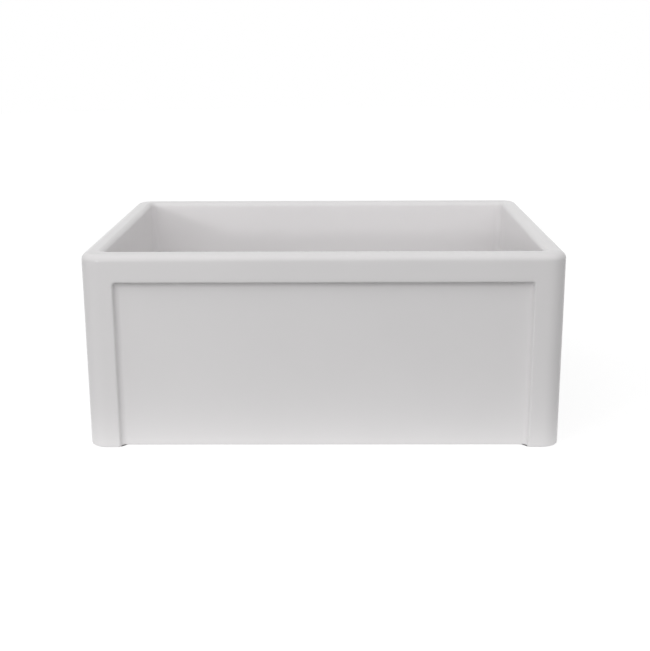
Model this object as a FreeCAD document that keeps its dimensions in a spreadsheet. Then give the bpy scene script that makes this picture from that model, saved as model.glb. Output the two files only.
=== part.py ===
import FreeCAD, Part
import math
import os
import re

import Sketcher

# A reversible apron front sink of fireclay with the basket strainer that closes its drain.
# The origin is the middle of the underside, on the drain's axis: +X to the right, +Z up,
# and the framed apron looks along -Y. Everything is in millimetres.

# ---------------------------------------------------------------- driving sizes
SIZES = (
    # the fireclay body
    ("sink_width", 609.6, "left side to right side"),
    ("sink_depth", 457.2, "apron to back"),
    ("sink_height", 254.0, "underside to rim"),
    ("wall", 25.4, "wall at the rim"),
    ("outer_corner", 24.0, "radius of the four upright outer corners"),
    ("rim_outer_round", 9.5, "round along the outside of the rim"),
    ("rim_inner_round", 7.0, "round along the inside of the rim"),
    ("foot_round", 2.0, "round along the bottom edge"),
    ("basin_corner", 10.0, "radius of the four upright corners of the basin"),
    ("basin_floor_round", 9.5, "cove between the basin's walls and its floor"),
    ("drain_level", 22.0, "basin floor at the drain, above the underside"),
    ("floor_slope", 0.02, "rise of the floor for each millimetre away from the drain"),
    # the framed apron
    ("post_face", 39.0, "flat width of each post, seen from the front"),
    ("rail_face", 34.3, "flat height of the rail under the rim"),
    ("shoulder_round", 2.5, "crisp round of the step, along the frame's edge"),
    ("cove_round", 6.5, "soft hollow round of the step, along the panel's edge"),
    ("step_land", 0.5, "straight stretch of the step between its rounds"),
    # the underside and the seat of the drain
    ("foot_band", 42.0, "width of the band that the sink stands on"),
    ("foot_recess", 3.0, "underside inside the band, above the band"),
    ("foot_recess_corner", 20.0, "corner radius of the recessed underside"),
    ("foot_recess_round", 1.5, "softened edge of the recessed underside"),
    ("hole_clearance", 1.6, "hole through the floor, round the strainer's thread"),
    ("hole_round", 1.5, "softened lower edge of the hole"),
    ("seat_clearance", 1.35, "sunk seat round the strainer's flange"),
    ("seat_depth", 3.5, "seat below the basin floor"),
    ("seat_round", 2.0, "softened edge of the seat"),
    ("seat_land", 6.0, "level ring round the seat, before the floor starts to rise"),
    ("fillet_reserve", 0.5, "least that a round leaves of the rounded corner it runs into"),
    # the strainer body
    ("cup_bore", 41.4, "inside of the cup"),
    ("cup_wall", 2.0, "wall of the cup under its thread"),
    ("cup_depth", 45.7, "flange face to cup floor"),
    ("cup_mouth_round", 2.4, "bend from flange to cup"),
    ("cup_floor_round", 7.0, "cove inside the cup"),
    ("cup_floor_thickness", 2.0, "floor of the cup"),
    ("flange_overlap", 12.15, "flange beyond the hole through the floor"),
    ("flange_thickness", 1.2, "sheet of the flange"),
    ("flange_lip", 0.5, "rounded lip of the flange"),
    ("throat_radius", 18.5, "bore of the outlet"),
    ("throat_round", 1.2, "softened mouth of the outlet"),
    ("spud_wall", 5.1, "wall of the outlet, with its thread"),
    ("spud_length", 17.0, "outlet below the cup floor"),
    ("spud_end_round", 0.6, "softened end of the outlet"),
    ("cross_drop", 2.5, "cross below the cup floor's face"),
    ("cross_thickness", 2.5, "height of the cross"),
    ("cross_arm", 3.2, "width of each arm"),
    ("hub_wall", 3.6, "hub of the cross, round its hole"),
    # what seals and clamps the strainer
    ("putty_thickness", 1.0, "bed under the flange, squeezed"),
    ("putty_margin", 0.8, "putty inside the flange's edge"),
    ("gasket_thickness", 4.0, "rubber under the floor"),
    ("gasket_width", 12.2, "rubber ring and paper ring, bore to outside"),
    ("friction_thickness", 0.8, "paper ring"),
    ("ring_clearance", 0.4, "rings round the cup's thread"),
    ("thread_clearance", 0.3, "nuts over their threads"),
    ("locknut_wall", 6.8, "skirt of the locknut"),
    ("locknut_height", 9.5, "locknut, top to bottom"),
    ("locknut_ledge", 5.0, "pressure plate beyond the skirt"),
    ("locknut_plate", 3.0, "thickness of the pressure plate"),
    ("locknut_lugs", 6, "lugs round the locknut"),
    ("locknut_lug_width", 8.0, "each lug, along the rim"),
    ("locknut_lug_length", 2.3, "each lug beyond the pressure plate"),
    ("locknut_round", 0.8, "softened edge of the locknut"),
    ("tail_washer_thickness", 2.0, "washer between outlet and tail tube"),
    ("tube_radius", 19.05, "tail tube that the coupling nut takes"),
    ("tube_clearance", 0.35, "coupling nut round the tail tube"),
    ("coupling_headroom", 2.5, "cup floor to coupling nut"),
    ("coupling_wall", 4.1, "wall of the coupling nut"),
    ("coupling_flange", 2.5, "inward flange at the bottom of the coupling nut"),
    ("coupling_ribs", 8, "grip ribs round the coupling nut"),
    ("coupling_rib_width", 5.0, "each grip rib"),
    ("coupling_rib_length", 3.0, "each grip rib beyond the wall"),
    ("coupling_round", 0.8, "softened edges of the coupling nut"),
    # the basket
    ("seal_gap", 0.3, "stopper above the cup floor"),
    ("seal_overlap", 11.5, "stopper beyond the outlet"),
    ("seal_taper", 8.0, "width over which the stopper thins to its lip"),
    ("seal_thickness", 2.6, "stopper at its middle"),
    ("seal_lip", 1.0, "stopper at its lip"),
    ("plate_clearance", 3.5, "plate that holds the stopper, inside the outlet"),
    ("plate_thickness", 1.2, "plate"),
    ("basket_play", 2.55, "rolled rim of the basket inside the cup"),
    ("basket_sheet", 0.9, "sheet of the basket"),
    ("basket_taper", 11.0, "floor of the basket inside its rim"),
    ("basket_height", 32.0, "basket, floor to rim"),
    ("basket_round", 5.0, "outer bend between floor and wall"),
    ("bead_radius", 1.3, "rolled rim"),
    ("slot_count", 20, "slots round the wall"),
    ("slot_width", 2.4, "each slot"),
    ("slot_above_floor", 9.0, "lower slot centre above the basket's floor"),
    ("slot_below_rim", 9.0, "upper slot centre below the rim"),
    ("hole_radius", 1.7, "each hole in the floor"),
    ("inner_ring_radius", 11.0, "circle of the inner holes"),
    ("inner_ring_holes", 8, "holes in the inner ring"),
    ("outer_ring_radius", 18.0, "circle of the outer holes"),
    ("outer_ring_holes", 14, "holes in the outer ring"),
    # post, knob and clip
    ("stud_radius", 1.5, "lower end of the post, through plate, stopper and basket"),
    ("stud_clearance", 0.1, "what is threaded on the stud"),
    ("rivet_overlap", 1.0, "peened end beyond the stud"),
    ("rivet_height", 0.9, "peened end of the stud"),
    ("pin_radius", 1.6, "pin on the post's end, inside the knob"),
    ("pin_length", 5.0, "pin on the post's end"),
    ("pin_clearance", 0.05, "knob round its pin"),
    ("post_step", 1.0, "post beyond the pin"),
    ("post_length", 25.0, "collar to knob"),
    ("collar_width", 2.4, "collar beyond the post"),
    ("collar_height", 2.2, "collar that holds the basket down"),
    ("knob_neck", 2.6, "knob beyond the post where they meet"),
    ("knob_spread", 4.8, "knob's brim beyond its neck"),
    ("knob_flare", 6.5, "height of the knob's flare, underside to brim"),
    ("knob_band", 0.3, "upright band at the brim"),
    ("knob_crown", 4.2, "round over the knob's top"),
    ("clip_sheet", 0.5, "spring strip"),
    ("clip_width", 5.0, "spring strip"),
    ("clip_clearance", 0.6, "hole of the cross round the clip's grip"),
    ("rivet_room", 0.5, "inside of each leg beyond the peened end"),
    ("clip_grip", 0.6, "how far each leg bulges beyond its bend"),
    ("clip_tuck", 1.1, "how far each tip tucks in from the bend"),
    ("clip_grip_drop", 5.6, "grip below the strip's face"),
    ("clip_tip_drop", 10.4, "tip below the strip's face"),
)

# ---------------------------------------------------------------- radii that mating pieces share
THREAD = "(cup_bore + cup_wall)"
DRAIN_BORE = "(%s + hole_clearance)" % THREAD
FLANGE_RADIUS = "(%s + flange_overlap)" % DRAIN_BORE
SEAT_RADIUS = "(%s + seat_clearance)" % FLANGE_RADIUS
RING_BORE = "(%s + ring_clearance)" % THREAD
RING_RADIUS = "(%s + gasket_width)" % RING_BORE
LOCKNUT_BORE = "(%s + thread_clearance)" % THREAD
LOCKNUT_SKIRT = "(%s + locknut_wall)" % LOCKNUT_BORE
LOCKNUT_RADIUS = "(%s + locknut_ledge)" % LOCKNUT_SKIRT
SPUD_RADIUS = "(throat_radius + spud_wall)"
COUPLING_BORE = "(%s + thread_clearance)" % SPUD_RADIUS
COUPLING_RADIUS = "(%s + coupling_wall)" % COUPLING_BORE
TUBE_EYE = "(tube_radius + tube_clearance)"
SEAL_RADIUS = "(throat_radius + seal_overlap)"
PLATE_RADIUS = "(throat_radius - plate_clearance)"
BEAD_CIRCLE = "(cup_bore - basket_play - bead_radius)"
BASKET_RADIUS = "(%s + basket_sheet / 2)" % BEAD_CIRCLE
BASKET_FLOOR_RADIUS = "(%s - basket_taper)" % BASKET_RADIUS
STUD_HOLE = "(stud_radius + stud_clearance)"
RIVET_RADIUS = "(stud_radius + rivet_overlap)"
POST_RADIUS = "(pin_radius + post_step)"
CLIP_ROOT = "(%s + rivet_room)" % RIVET_RADIUS
CLIP_GRIP = "(%s + clip_grip)" % CLIP_ROOT
CROSS_HOLE = "(sqrt((%s + clip_sheet)^2 + (clip_width / 2)^2) + clip_clearance)" % CLIP_GRIP

# ---------------------------------------------------------------- heights on the drain's axis
SEAT = "(drain_level - seat_depth)"
FLANGE_UNDER = "(%s + putty_thickness)" % SEAT
FLANGE_TOP = "(%s + flange_thickness)" % FLANGE_UNDER
CUP_FLOOR = "(%s - cup_depth)" % FLANGE_TOP
CUP_UNDER = "(%s - cup_floor_thickness)" % CUP_FLOOR
SPUD_END = "(%s - spud_length)" % CUP_UNDER
CROSS_TOP = "(%s - cross_drop)" % CUP_FLOOR
CROSS_UNDER = "(%s - cross_thickness)" % CROSS_TOP
GASKET_UNDER = "(foot_recess - gasket_thickness)"
LOCKNUT_TOP = "(%s - friction_thickness)" % GASKET_UNDER
TAIL_WASHER_UNDER = "(%s - tail_washer_thickness)" % SPUD_END
COUPLING_UNDER = "(%s - coupling_flange)" % TAIL_WASHER_UNDER
COUPLING_TOP = "(%s - coupling_headroom)" % CUP_UNDER
SEAL_UNDER = "(%s + seal_gap)" % CUP_FLOOR
PLATE_UNDER = "(%s - plate_thickness)" % SEAL_UNDER
CLIP_UNDER = "(%s - clip_sheet)" % PLATE_UNDER
BASKET_UNDER = "(%s + seal_thickness)" % SEAL_UNDER
BASKET_FLOOR = "(%s + basket_sheet)" % BASKET_UNDER
BASKET_RIM = "(%s + basket_height)" % BASKET_UNDER
POST_ROOT = "(%s + collar_height)" % BASKET_FLOOR
KNOB_UNDER = "(%s + post_length)" % POST_ROOT

# how far a cutting outline runs past what it cuts
BEYOND = "wall"

doc = FreeCAD.newDocument("apron_sink")
sheet = doc.addObject("Spreadsheet::Sheet", "sizes")
for row, (alias, size, meaning) in enumerate(SIZES, start=1):
    sheet.set("A%d" % row, meaning)
    sheet.set("B%d" % row, repr(size))
    sheet.setAlias("B%d" % row, alias)
doc.recompute()
ALIASES = {alias for alias, size, meaning in SIZES}
NEAR = 1e-3


# ---------------------------------------------------------------- helpers
def linked(expression):
    """Point each size's name at its cell."""
    return re.sub("[a-z_]+", lambda word: ("sizes." if word[0] in ALIASES else "") + word[0], expression)


def number(expression):
    """Work an expression of sizes out."""
    return float(sheet.evalExpression(linked(expression)))


def new_body(label):
    """Start a piece; its label names its file."""
    body = doc.addObject("PartDesign::Body", label)
    body.Label = label
    return body


def origin_item(body, role):
    """One of the body's own planes or axes."""
    return next(item for item in body.Origin.OriginFeatures if item.Role == role)


def new_sketch(body, name, role, offset="0"):
    """A sketch on one of the body's planes, moved along the plane's normal."""
    sketch = body.newObject("Sketcher::SketchObject", name)
    sketch.AttachmentSupport = [(origin_item(body, role), "")]
    sketch.MapMode = "FlatFace"
    sketch.setExpression("AttachmentOffset.Base.z", linked(offset))
    return sketch


def tie(sketch, geometry, point, across, along):
    """Hold a sketch point at two expressions."""
    for kind, expression in (("DistanceX", across), ("DistanceY", along)):
        constraint = Sketcher.Constraint(kind, -1, 1, geometry, point, number(expression))
        index = sketch.addConstraint(constraint)
        sketch.setExpression("Constraints[%d]" % index, linked(expression))


def draw_outline(sketch, corners):
    """A closed outline of straight lines through corners given as pairs of expressions."""
    points = [FreeCAD.Vector(number(across), number(along), 0) for across, along in corners]
    ends = points[1:] + points[:1]
    lines = [sketch.addGeometry(Part.LineSegment(start, end), False) for start, end in zip(points, ends)]
    for line, following in zip(lines, lines[1:] + lines[:1]):
        sketch.addConstraint(Sketcher.Constraint("Coincident", line, 2, following, 1))
    for line, (across, along) in zip(lines, corners):
        tie(sketch, line, 1, across, along)


def draw_rectangle(sketch, low_x, low_y, high_x, high_y):
    """A rectangle between two corners."""
    draw_outline(sketch, [(low_x, low_y), (high_x, low_y), (high_x, high_y), (low_x, high_y)])


def draw_circle(sketch, across, along, radius):
    """A circle round a point."""
    middle = FreeCAD.Vector(number(across), number(along), 0)
    circle = sketch.addGeometry(Part.Circle(middle, FreeCAD.Vector(0, 0, 1), number(radius)), False)
    tie(sketch, circle, 3, across, along)
    index = sketch.addConstraint(Sketcher.Constraint("Radius", circle, number(radius)))
    sketch.setExpression("Constraints[%d]" % index, linked(radius))


def pad(body, name, sketch, length, symmetric=False):
    """Raise a sketch along its normal."""
    feature = body.newObject("PartDesign::Pad", name)
    feature.Profile = sketch
    feature.Midplane = symmetric
    feature.setExpression("Length", linked(length))
    return feature


def pocket(body, name, sketch, length, reverse=False):
    """Cut a sketch against its normal, or along it where reversed."""
    feature = body.newObject("PartDesign::Pocket", name)
    feature.Profile = sketch
    feature.Reversed = reverse
    feature.setExpression("Length", linked(length))
    return feature


def turn(body, name, corners, kind="Revolution"):
    """Turn an outline of (radius, height) pairs round the drain's axis, to add or to cut."""
    sketch = new_sketch(body, name + "_section", "XZ_Plane")
    draw_outline(sketch, corners)
    feature = body.newObject("PartDesign::" + kind, name)
    feature.Profile = sketch
    feature.ReferenceAxis = (sketch, ["V_Axis"])
    return feature


def repeat(body, name, feature, count):
    """Repeat a feature evenly round the drain's axis."""
    pattern = body.newObject("PartDesign::PolarPattern", name)
    pattern.Originals = [feature]
    pattern.Axis = (origin_item(body, "Z_Axis"), [""])
    pattern.setExpression("Occurrences", linked(count))
    body.Tip = pattern
    return pattern


def round_edges(body, name, radius, chosen):
    """Round those edges of the piece so far that the test picks."""
    doc.recompute()
    base = body.Tip
    names = ["Edge%d" % place for place, edge in enumerate(base.Shape.Edges, start=1) if chosen(edge)]
    fillet = body.newObject("PartDesign::Fillet", name)
    fillet.Base = (base, names)
    fillet.setExpression("Radius", linked(radius))
    return fillet


def same(first, second):
    """Two coordinates that agree."""
    return abs(first - second) < NEAR


def level(edge, height):
    """An edge that lies in the level plane at a height."""
    return same(edge.BoundBox.ZMin, height) and same(edge.BoundBox.ZMax, height)


def upright(edge):
    """A straight edge along the drain's axis."""
    box = edge.BoundBox
    return same(box.XLength, 0) and same(box.YLength, 0)


def is_ring(edge, radius, height):
    """A level circle round the drain's axis."""
    return level(edge, height) and same(edge.BoundBox.XLength, 2 * radius)


def round_rings(body, name, radius, rings):
    """Round the circles of a turned piece, given as (radius, height) pairs."""
    places = [(number(ring), number(height)) for ring, height in rings]
    return round_edges(body, name, radius, lambda edge: any(is_ring(edge, *place) for place in places))


# ---------------------------------------------------------------- the fireclay body
def make_basin_core():
    """The basin's hollow as a solid: upright walls, a floor that falls to the drain, and its cove."""
    body = new_body("basin_core")
    half_width = "sink_width / 2 - wall"
    half_depth = "sink_depth / 2 - wall"
    plan = new_sketch(body, "basin_plan", "XY_Plane", "drain_level")
    draw_rectangle(plan, "-(%s)" % half_width, "-(%s)" % half_depth, half_width, half_depth)
    pad(body, "basin_block", plan, "sink_height - drain_level + " + BEYOND)
    round_edges(body, "basin_corners", "basin_corner", upright)
    start = SEAT_RADIUS + " + seat_land"
    reach = "(sink_width + sink_depth) / 2"
    rise = "drain_level + (%s - (%s)) * floor_slope" % (reach, start)
    turn(body, "floor_fall", [(start, "drain_level"), (reach, "drain_level"), (reach, rise)], "Groove")
    doc.recompute()
    wall_x = number(half_width)
    wall_y = number(half_depth)
    top = number("sink_height + " + BEYOND)

    def meets_wall(edge):
        box = edge.BoundBox
        reaches_wall = same(max(-box.XMin, box.XMax), wall_x) or same(max(-box.YMin, box.YMax), wall_y)
        return reaches_wall and box.ZMax < top / 2

    round_edges(body, "floor_cove", "min(basin_floor_round; basin_corner - fillet_reserve)", meets_wall)
    return body


def make_sink_body(core):
    """One slip-cast piece: walls, framed apron, sloping floor, drain hole and the band it stands on."""
    body = new_body("sink_body")
    plan = new_sketch(body, "plan", "XY_Plane")
    draw_rectangle(plan, "-sink_width / 2", "-sink_depth / 2", "sink_width / 2", "sink_depth / 2")
    pad(body, "block", plan, "sink_height")
    round_edges(body, "outer_corners", "outer_corner", upright)
    add_apron_panel(body)
    rim = number("sink_height")
    round_edges(body, "rim_outside", "rim_outer_round", lambda edge: level(edge, rim))
    round_edges(body, "bottom_edge", "min(foot_round; shoulder_round - fillet_reserve)",
                lambda edge: level(edge, 0))
    hollow = body.newObject("PartDesign::Boolean", "basin")
    hollow.Type = "Cut"
    hollow.setObjects([core])
    inside = number("sink_depth / 2 - wall")
    round_edges(body, "rim_inside", "rim_inner_round",
                lambda edge: level(edge, rim) and max(-edge.BoundBox.YMin, edge.BoundBox.YMax) < inside + NEAR
                and max(-edge.BoundBox.XMin, edge.BoundBox.XMax) < number("sink_width / 2 - wall") + NEAR)
    add_underside(body)
    add_drain_hole(body)
    return body


def add_apron_panel(body):
    """Sink the panel between the posts, open at the bottom, with a soft step mitred at its corners."""
    half = "(sink_width / 2 - post_face - shoulder_round)"
    head = "sink_height - rail_face - shoulder_round"
    depth = "(shoulder_round + step_land + cove_round)"
    outline = new_sketch(body, "panel_outline", "XZ_Plane", "sink_depth / 2")
    draw_rectangle(outline, "-" + half, "-" + BEYOND, half, head)
    pocket(body, "panel", outline, depth)
    head_height = number(head)
    half_width = number(half)
    front = -number("sink_depth / 2")
    back = front + number(depth)

    def on_step(edge, plane):
        box = edge.BoundBox
        in_plane = same(box.YMin, plane) and same(box.YMax, plane)
        inside = max(-box.XMin, box.XMax) < half_width + NEAR and box.ZMax < head_height + NEAR
        return in_plane and inside and box.ZMax > NEAR

    round_edges(body, "step_shoulder", "shoulder_round", lambda edge: on_step(edge, front))
    round_edges(body, "step_cove", "cove_round", lambda edge: on_step(edge, back))


def add_underside(body):
    """Recess the underside so that only a band at its edge stands on the cabinet."""
    half_width = "sink_width / 2 - foot_band"
    half_depth = "sink_depth / 2 - foot_band"
    outline = new_sketch(body, "recess_outline", "XY_Plane")
    draw_rectangle(outline, "-(%s)" % half_width, "-(%s)" % half_depth, half_width, half_depth)
    pocket(body, "underside_recess", outline, "foot_recess", reverse=True)
    reach = number(half_width) + NEAR
    top = number("foot_recess")
    round_edges(body, "recess_corners", "foot_recess_corner",
                lambda edge: upright(edge) and edge.BoundBox.ZMax < top + NEAR
                and abs(edge.BoundBox.XMin) < reach)
    round_edges(body, "recess_edge", "foot_recess_round",
                lambda edge: level(edge, 0) and max(-edge.BoundBox.XMin, edge.BoundBox.XMax) < reach)


def add_drain_hole(body):
    """Cut the drain hole and the sunk seat for the strainer's flange."""
    above = "drain_level + " + BEYOND
    turn(body, "drain_hole", [
        ("0", "-" + BEYOND), (DRAIN_BORE, "-" + BEYOND), (DRAIN_BORE, SEAT),
        (SEAT_RADIUS, SEAT), (SEAT_RADIUS, above), ("0", above)], "Groove")
    round_rings(body, "seat_edge", "seat_round", [(SEAT_RADIUS, "drain_level")])
    round_rings(body, "hole_edge", "hole_round", [(DRAIN_BORE, "foot_recess")])


# ---------------------------------------------------------------- the strainer and what clamps it
def make_strainer_body():
    """Flange, cup and threaded outlet turned in one, with a cross in the outlet."""
    body = new_body("strainer_body")
    turn(body, "shell", [
        ("throat_radius", SPUD_END), (SPUD_RADIUS, SPUD_END), (SPUD_RADIUS, CUP_UNDER),
        (THREAD, CUP_UNDER), (THREAD, FLANGE_UNDER), (FLANGE_RADIUS, FLANGE_UNDER),
        (FLANGE_RADIUS, FLANGE_TOP), ("cup_bore", FLANGE_TOP), ("cup_bore", CUP_FLOOR),
        ("throat_radius", CUP_FLOOR)])
    round_rings(body, "flange_edge", "flange_lip", [(FLANGE_RADIUS, FLANGE_TOP)])
    round_rings(body, "cup_mouth", "cup_mouth_round", [("cup_bore", FLANGE_TOP)])
    round_rings(body, "cup_cove", "cup_floor_round", [("cup_bore", CUP_FLOOR)])
    round_rings(body, "cup_heel", "cup_floor_round + cup_wall", [(THREAD, CUP_UNDER)])
    round_rings(body, "throat_mouth", "throat_round", [("throat_radius", CUP_FLOOR)])
    round_rings(body, "spud_end", "spud_end_round", [(SPUD_RADIUS, SPUD_END)])
    add_cross(body)
    return body


def add_cross(body):
    """Four arms and a hub with a hole, set in the outlet below the cup's floor."""
    into_wall = "(throat_radius + spud_wall / 2)"
    for name, low, high in (
            ("arms_across", ("-" + into_wall, "-cross_arm / 2"), (into_wall, "cross_arm / 2")),
            ("arms_along", ("-cross_arm / 2", "-" + into_wall), ("cross_arm / 2", into_wall))):
        outline = new_sketch(body, name + "_outline", "XY_Plane", CROSS_UNDER)
        draw_rectangle(outline, *low, *high)
        pad(body, name, outline, "cross_thickness")
    hub = new_sketch(body, "hub_outline", "XY_Plane", CROSS_UNDER)
    draw_circle(hub, "0", "0", CROSS_HOLE + " + hub_wall")
    pad(body, "hub", hub, "cross_thickness")
    hole = new_sketch(body, "hub_hole_outline", "XY_Plane", CROSS_TOP)
    draw_circle(hole, "0", "0", CROSS_HOLE)
    pocket(body, "hub_hole", hole, "cross_thickness")


def make_ring(label, inner, outer, low, high):
    """A flat ring round the drain's axis."""
    body = new_body(label)
    turn(body, label + "_ring", [(inner, low), (outer, low), (outer, high), (inner, high)])
    return body


def make_locknut():
    """The wide nut that draws the flange down: a plate, a skirt and lugs for the wrench."""
    body = new_body("locknut")
    low = LOCKNUT_TOP + " - locknut_height"
    step = LOCKNUT_TOP + " - locknut_plate"
    turn(body, "skirt", [
        (LOCKNUT_BORE, low), (LOCKNUT_SKIRT, low), (LOCKNUT_SKIRT, step),
        (LOCKNUT_RADIUS, step), (LOCKNUT_RADIUS, LOCKNUT_TOP), (LOCKNUT_BORE, LOCKNUT_TOP)])
    round_rings(body, "skirt_edge", "locknut_round", [(LOCKNUT_SKIRT, low)])
    outline = new_sketch(body, "lug_outline", "XY_Plane", low)
    draw_rectangle(outline, LOCKNUT_BORE + " + locknut_wall / 2", "-locknut_lug_width / 2",
                   LOCKNUT_RADIUS + " + locknut_lug_length", "locknut_lug_width / 2")
    lug = pad(body, "lug", outline, "locknut_height")
    repeat(body, "lugs", lug, "locknut_lugs")
    return body


def make_coupling_nut():
    """The slip nut under the outlet: ribbed outside, with an inward flange for the tail tube."""
    body = new_body("coupling_nut")
    turn(body, "nut", [
        (TUBE_EYE, COUPLING_UNDER), (COUPLING_RADIUS, COUPLING_UNDER), (COUPLING_RADIUS, COUPLING_TOP),
        (COUPLING_BORE, COUPLING_TOP), (COUPLING_BORE, TAIL_WASHER_UNDER), (TUBE_EYE, TAIL_WASHER_UNDER)])
    round_rings(body, "nut_edges", "coupling_round",
                [(COUPLING_RADIUS, COUPLING_UNDER), (COUPLING_RADIUS, COUPLING_TOP)])
    outline = new_sketch(body, "rib_outline", "XY_Plane", COUPLING_UNDER + " + coupling_round")
    draw_rectangle(outline, COUPLING_BORE + " + coupling_wall / 2", "-coupling_rib_width / 2",
                   COUPLING_RADIUS + " + coupling_rib_length", "coupling_rib_width / 2")
    rib = pad(body, "rib", outline, "%s - %s - 2 * coupling_round" % (COUPLING_TOP, COUPLING_UNDER))
    repeat(body, "ribs", rib, "coupling_ribs")
    return body


# ---------------------------------------------------------------- the basket
def make_basket_cup():
    """A drawn cup with a rolled rim, slots round its wall and two rings of holes in its floor."""
    body = new_body("basket_cup")
    inner_floor = BASKET_FLOOR_RADIUS + " - basket_sheet"
    turn(body, "cup", [
        (STUD_HOLE, BASKET_UNDER), (BASKET_FLOOR_RADIUS, BASKET_UNDER),
        (BASKET_RADIUS, BASKET_RIM), (BASKET_RADIUS + " - basket_sheet", BASKET_RIM),
        (inner_floor, BASKET_FLOOR), (STUD_HOLE, BASKET_FLOOR)])
    round_rings(body, "outer_bend", "basket_round", [(BASKET_FLOOR_RADIUS, BASKET_UNDER)])
    round_rings(body, "inner_bend", "basket_round - basket_sheet", [(inner_floor, BASKET_FLOOR)])
    bead = new_sketch(body, "bead_section", "XZ_Plane")
    draw_circle(bead, BEAD_CIRCLE, BASKET_RIM, "bead_radius")
    rim = body.newObject("PartDesign::Revolution", "rolled_rim")
    rim.Profile = bead
    rim.ReferenceAxis = (bead, ["V_Axis"])
    slot = cut_slot(body)
    repeat(body, "slots", slot, "slot_count")
    for name, ring, count in (("inner_holes", "inner_ring_radius", "inner_ring_holes"),
                              ("outer_holes", "outer_ring_radius", "outer_ring_holes")):
        outline = new_sketch(body, name + "_outline", "XY_Plane", BASKET_FLOOR)
        draw_circle(outline, ring, "0", "hole_radius")
        hole = pocket(body, name + "_first", outline, "basket_sheet")
        repeat(body, name, hole, count)
    return body


def cut_slot(body):
    """One round-ended slot through the wall on the side of the apron."""
    sketch = new_sketch(body, "slot_outline", "XZ_Plane")
    half = number("slot_width / 2")
    low = BASKET_UNDER + " + slot_above_floor"
    high = BASKET_RIM + " - slot_below_rim"
    left, right = [
        sketch.addGeometry(Part.LineSegment(FreeCAD.Vector(side, number(start), 0),
                                            FreeCAD.Vector(side, number(end), 0)), False)
        for side, start, end in ((-half, high, low), (half, low, high))]
    lower, upper = [
        sketch.addGeometry(Part.ArcOfCircle(
            Part.Circle(FreeCAD.Vector(0, number(height), 0), FreeCAD.Vector(0, 0, 1), half),
            start, start + math.pi), False)
        for height, start in ((low, math.pi), (high, 0))]
    tie(sketch, lower, 3, "0", low)
    tie(sketch, upper, 3, "0", high)
    for first, second in ((left, lower), (lower, right), (right, upper), (upper, left)):
        sketch.addConstraint(Sketcher.Constraint("Tangent", first, 2, second, 1))
    index = sketch.addConstraint(Sketcher.Constraint("Radius", lower, half))
    sketch.setExpression("Constraints[%d]" % index, linked("slot_width / 2"))
    return pocket(body, "slot", sketch, "cup_bore", reverse=True)


def make_stopper_seal():
    """The rubber stopper: thick in the middle, with a thin lip that lies on the cup's floor."""
    body = new_body("stopper_seal")
    turn(body, "disc", [
        (STUD_HOLE, SEAL_UNDER), (SEAL_RADIUS, SEAL_UNDER), (SEAL_RADIUS, SEAL_UNDER + " + seal_lip"),
        (SEAL_RADIUS + " - seal_taper", BASKET_UNDER), (STUD_HOLE, BASKET_UNDER)])
    return body


def make_centre_post():
    """Stud, collar, post and pin turned in one; the stud's end is peened under the clip."""
    body = new_body("centre_post")
    rivet_end = CLIP_UNDER + " - rivet_height"
    pin_end = KNOB_UNDER + " + pin_length"
    collar = POST_RADIUS + " + collar_width"
    turn(body, "turned_post", [
        ("0", rivet_end), (RIVET_RADIUS, rivet_end), (RIVET_RADIUS, CLIP_UNDER),
        ("stud_radius", CLIP_UNDER), ("stud_radius", BASKET_FLOOR), (collar, BASKET_FLOOR),
        (collar, POST_ROOT), (POST_RADIUS, POST_ROOT), (POST_RADIUS, KNOB_UNDER),
        ("pin_radius", KNOB_UNDER), ("pin_radius", pin_end), ("0", pin_end)])
    return body


def make_lift_knob():
    """The knob on the post: a neck that flares to a brim under a rounded crown."""
    body = new_body("lift_knob")
    bore = "pin_radius + pin_clearance"
    socket = KNOB_UNDER + " + pin_length + pin_clearance"
    neck = POST_RADIUS + " + knob_neck"
    rim = neck + " + knob_spread"
    brim = KNOB_UNDER + " + knob_flare"
    top = brim + " + knob_band + knob_crown"
    turn(body, "knob", [
        (bore, KNOB_UNDER), (neck, KNOB_UNDER), (rim, brim), (rim, top),
        ("0", top), ("0", socket), (bore, socket)])
    round_rings(body, "crown", "knob_crown", [(rim, top)])
    return body


def make_detent_clip():
    """A spring strip bent to a U under the stopper: its legs bulge to grip the cross's hole."""
    body = new_body("detent_clip")
    outside = " + clip_sheet"
    grip_height = PLATE_UNDER + " - clip_grip_drop"
    tip = CLIP_ROOT + " - clip_tuck"
    tip_height = PLATE_UNDER + " - clip_tip_drop"
    right = [
        (CLIP_ROOT + outside, PLATE_UNDER), (CLIP_ROOT + outside, CLIP_UNDER),
        (CLIP_GRIP + outside, grip_height), (tip + outside, tip_height),
        (tip, tip_height), (CLIP_GRIP, grip_height), (CLIP_ROOT, CLIP_UNDER)]
    left = [("-(%s)" % across, height) for across, height in reversed(right)]
    sketch = new_sketch(body, "strip_outline", "XZ_Plane")
    draw_outline(sketch, right + left)
    pad(body, "strip", sketch, "clip_width", symmetric=True)
    eye = new_sketch(body, "eye_outline", "XY_Plane", PLATE_UNDER)
    draw_circle(eye, "0", "0", STUD_HOLE)
    pocket(body, "eye", eye, "clip_sheet")
    return body


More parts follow.
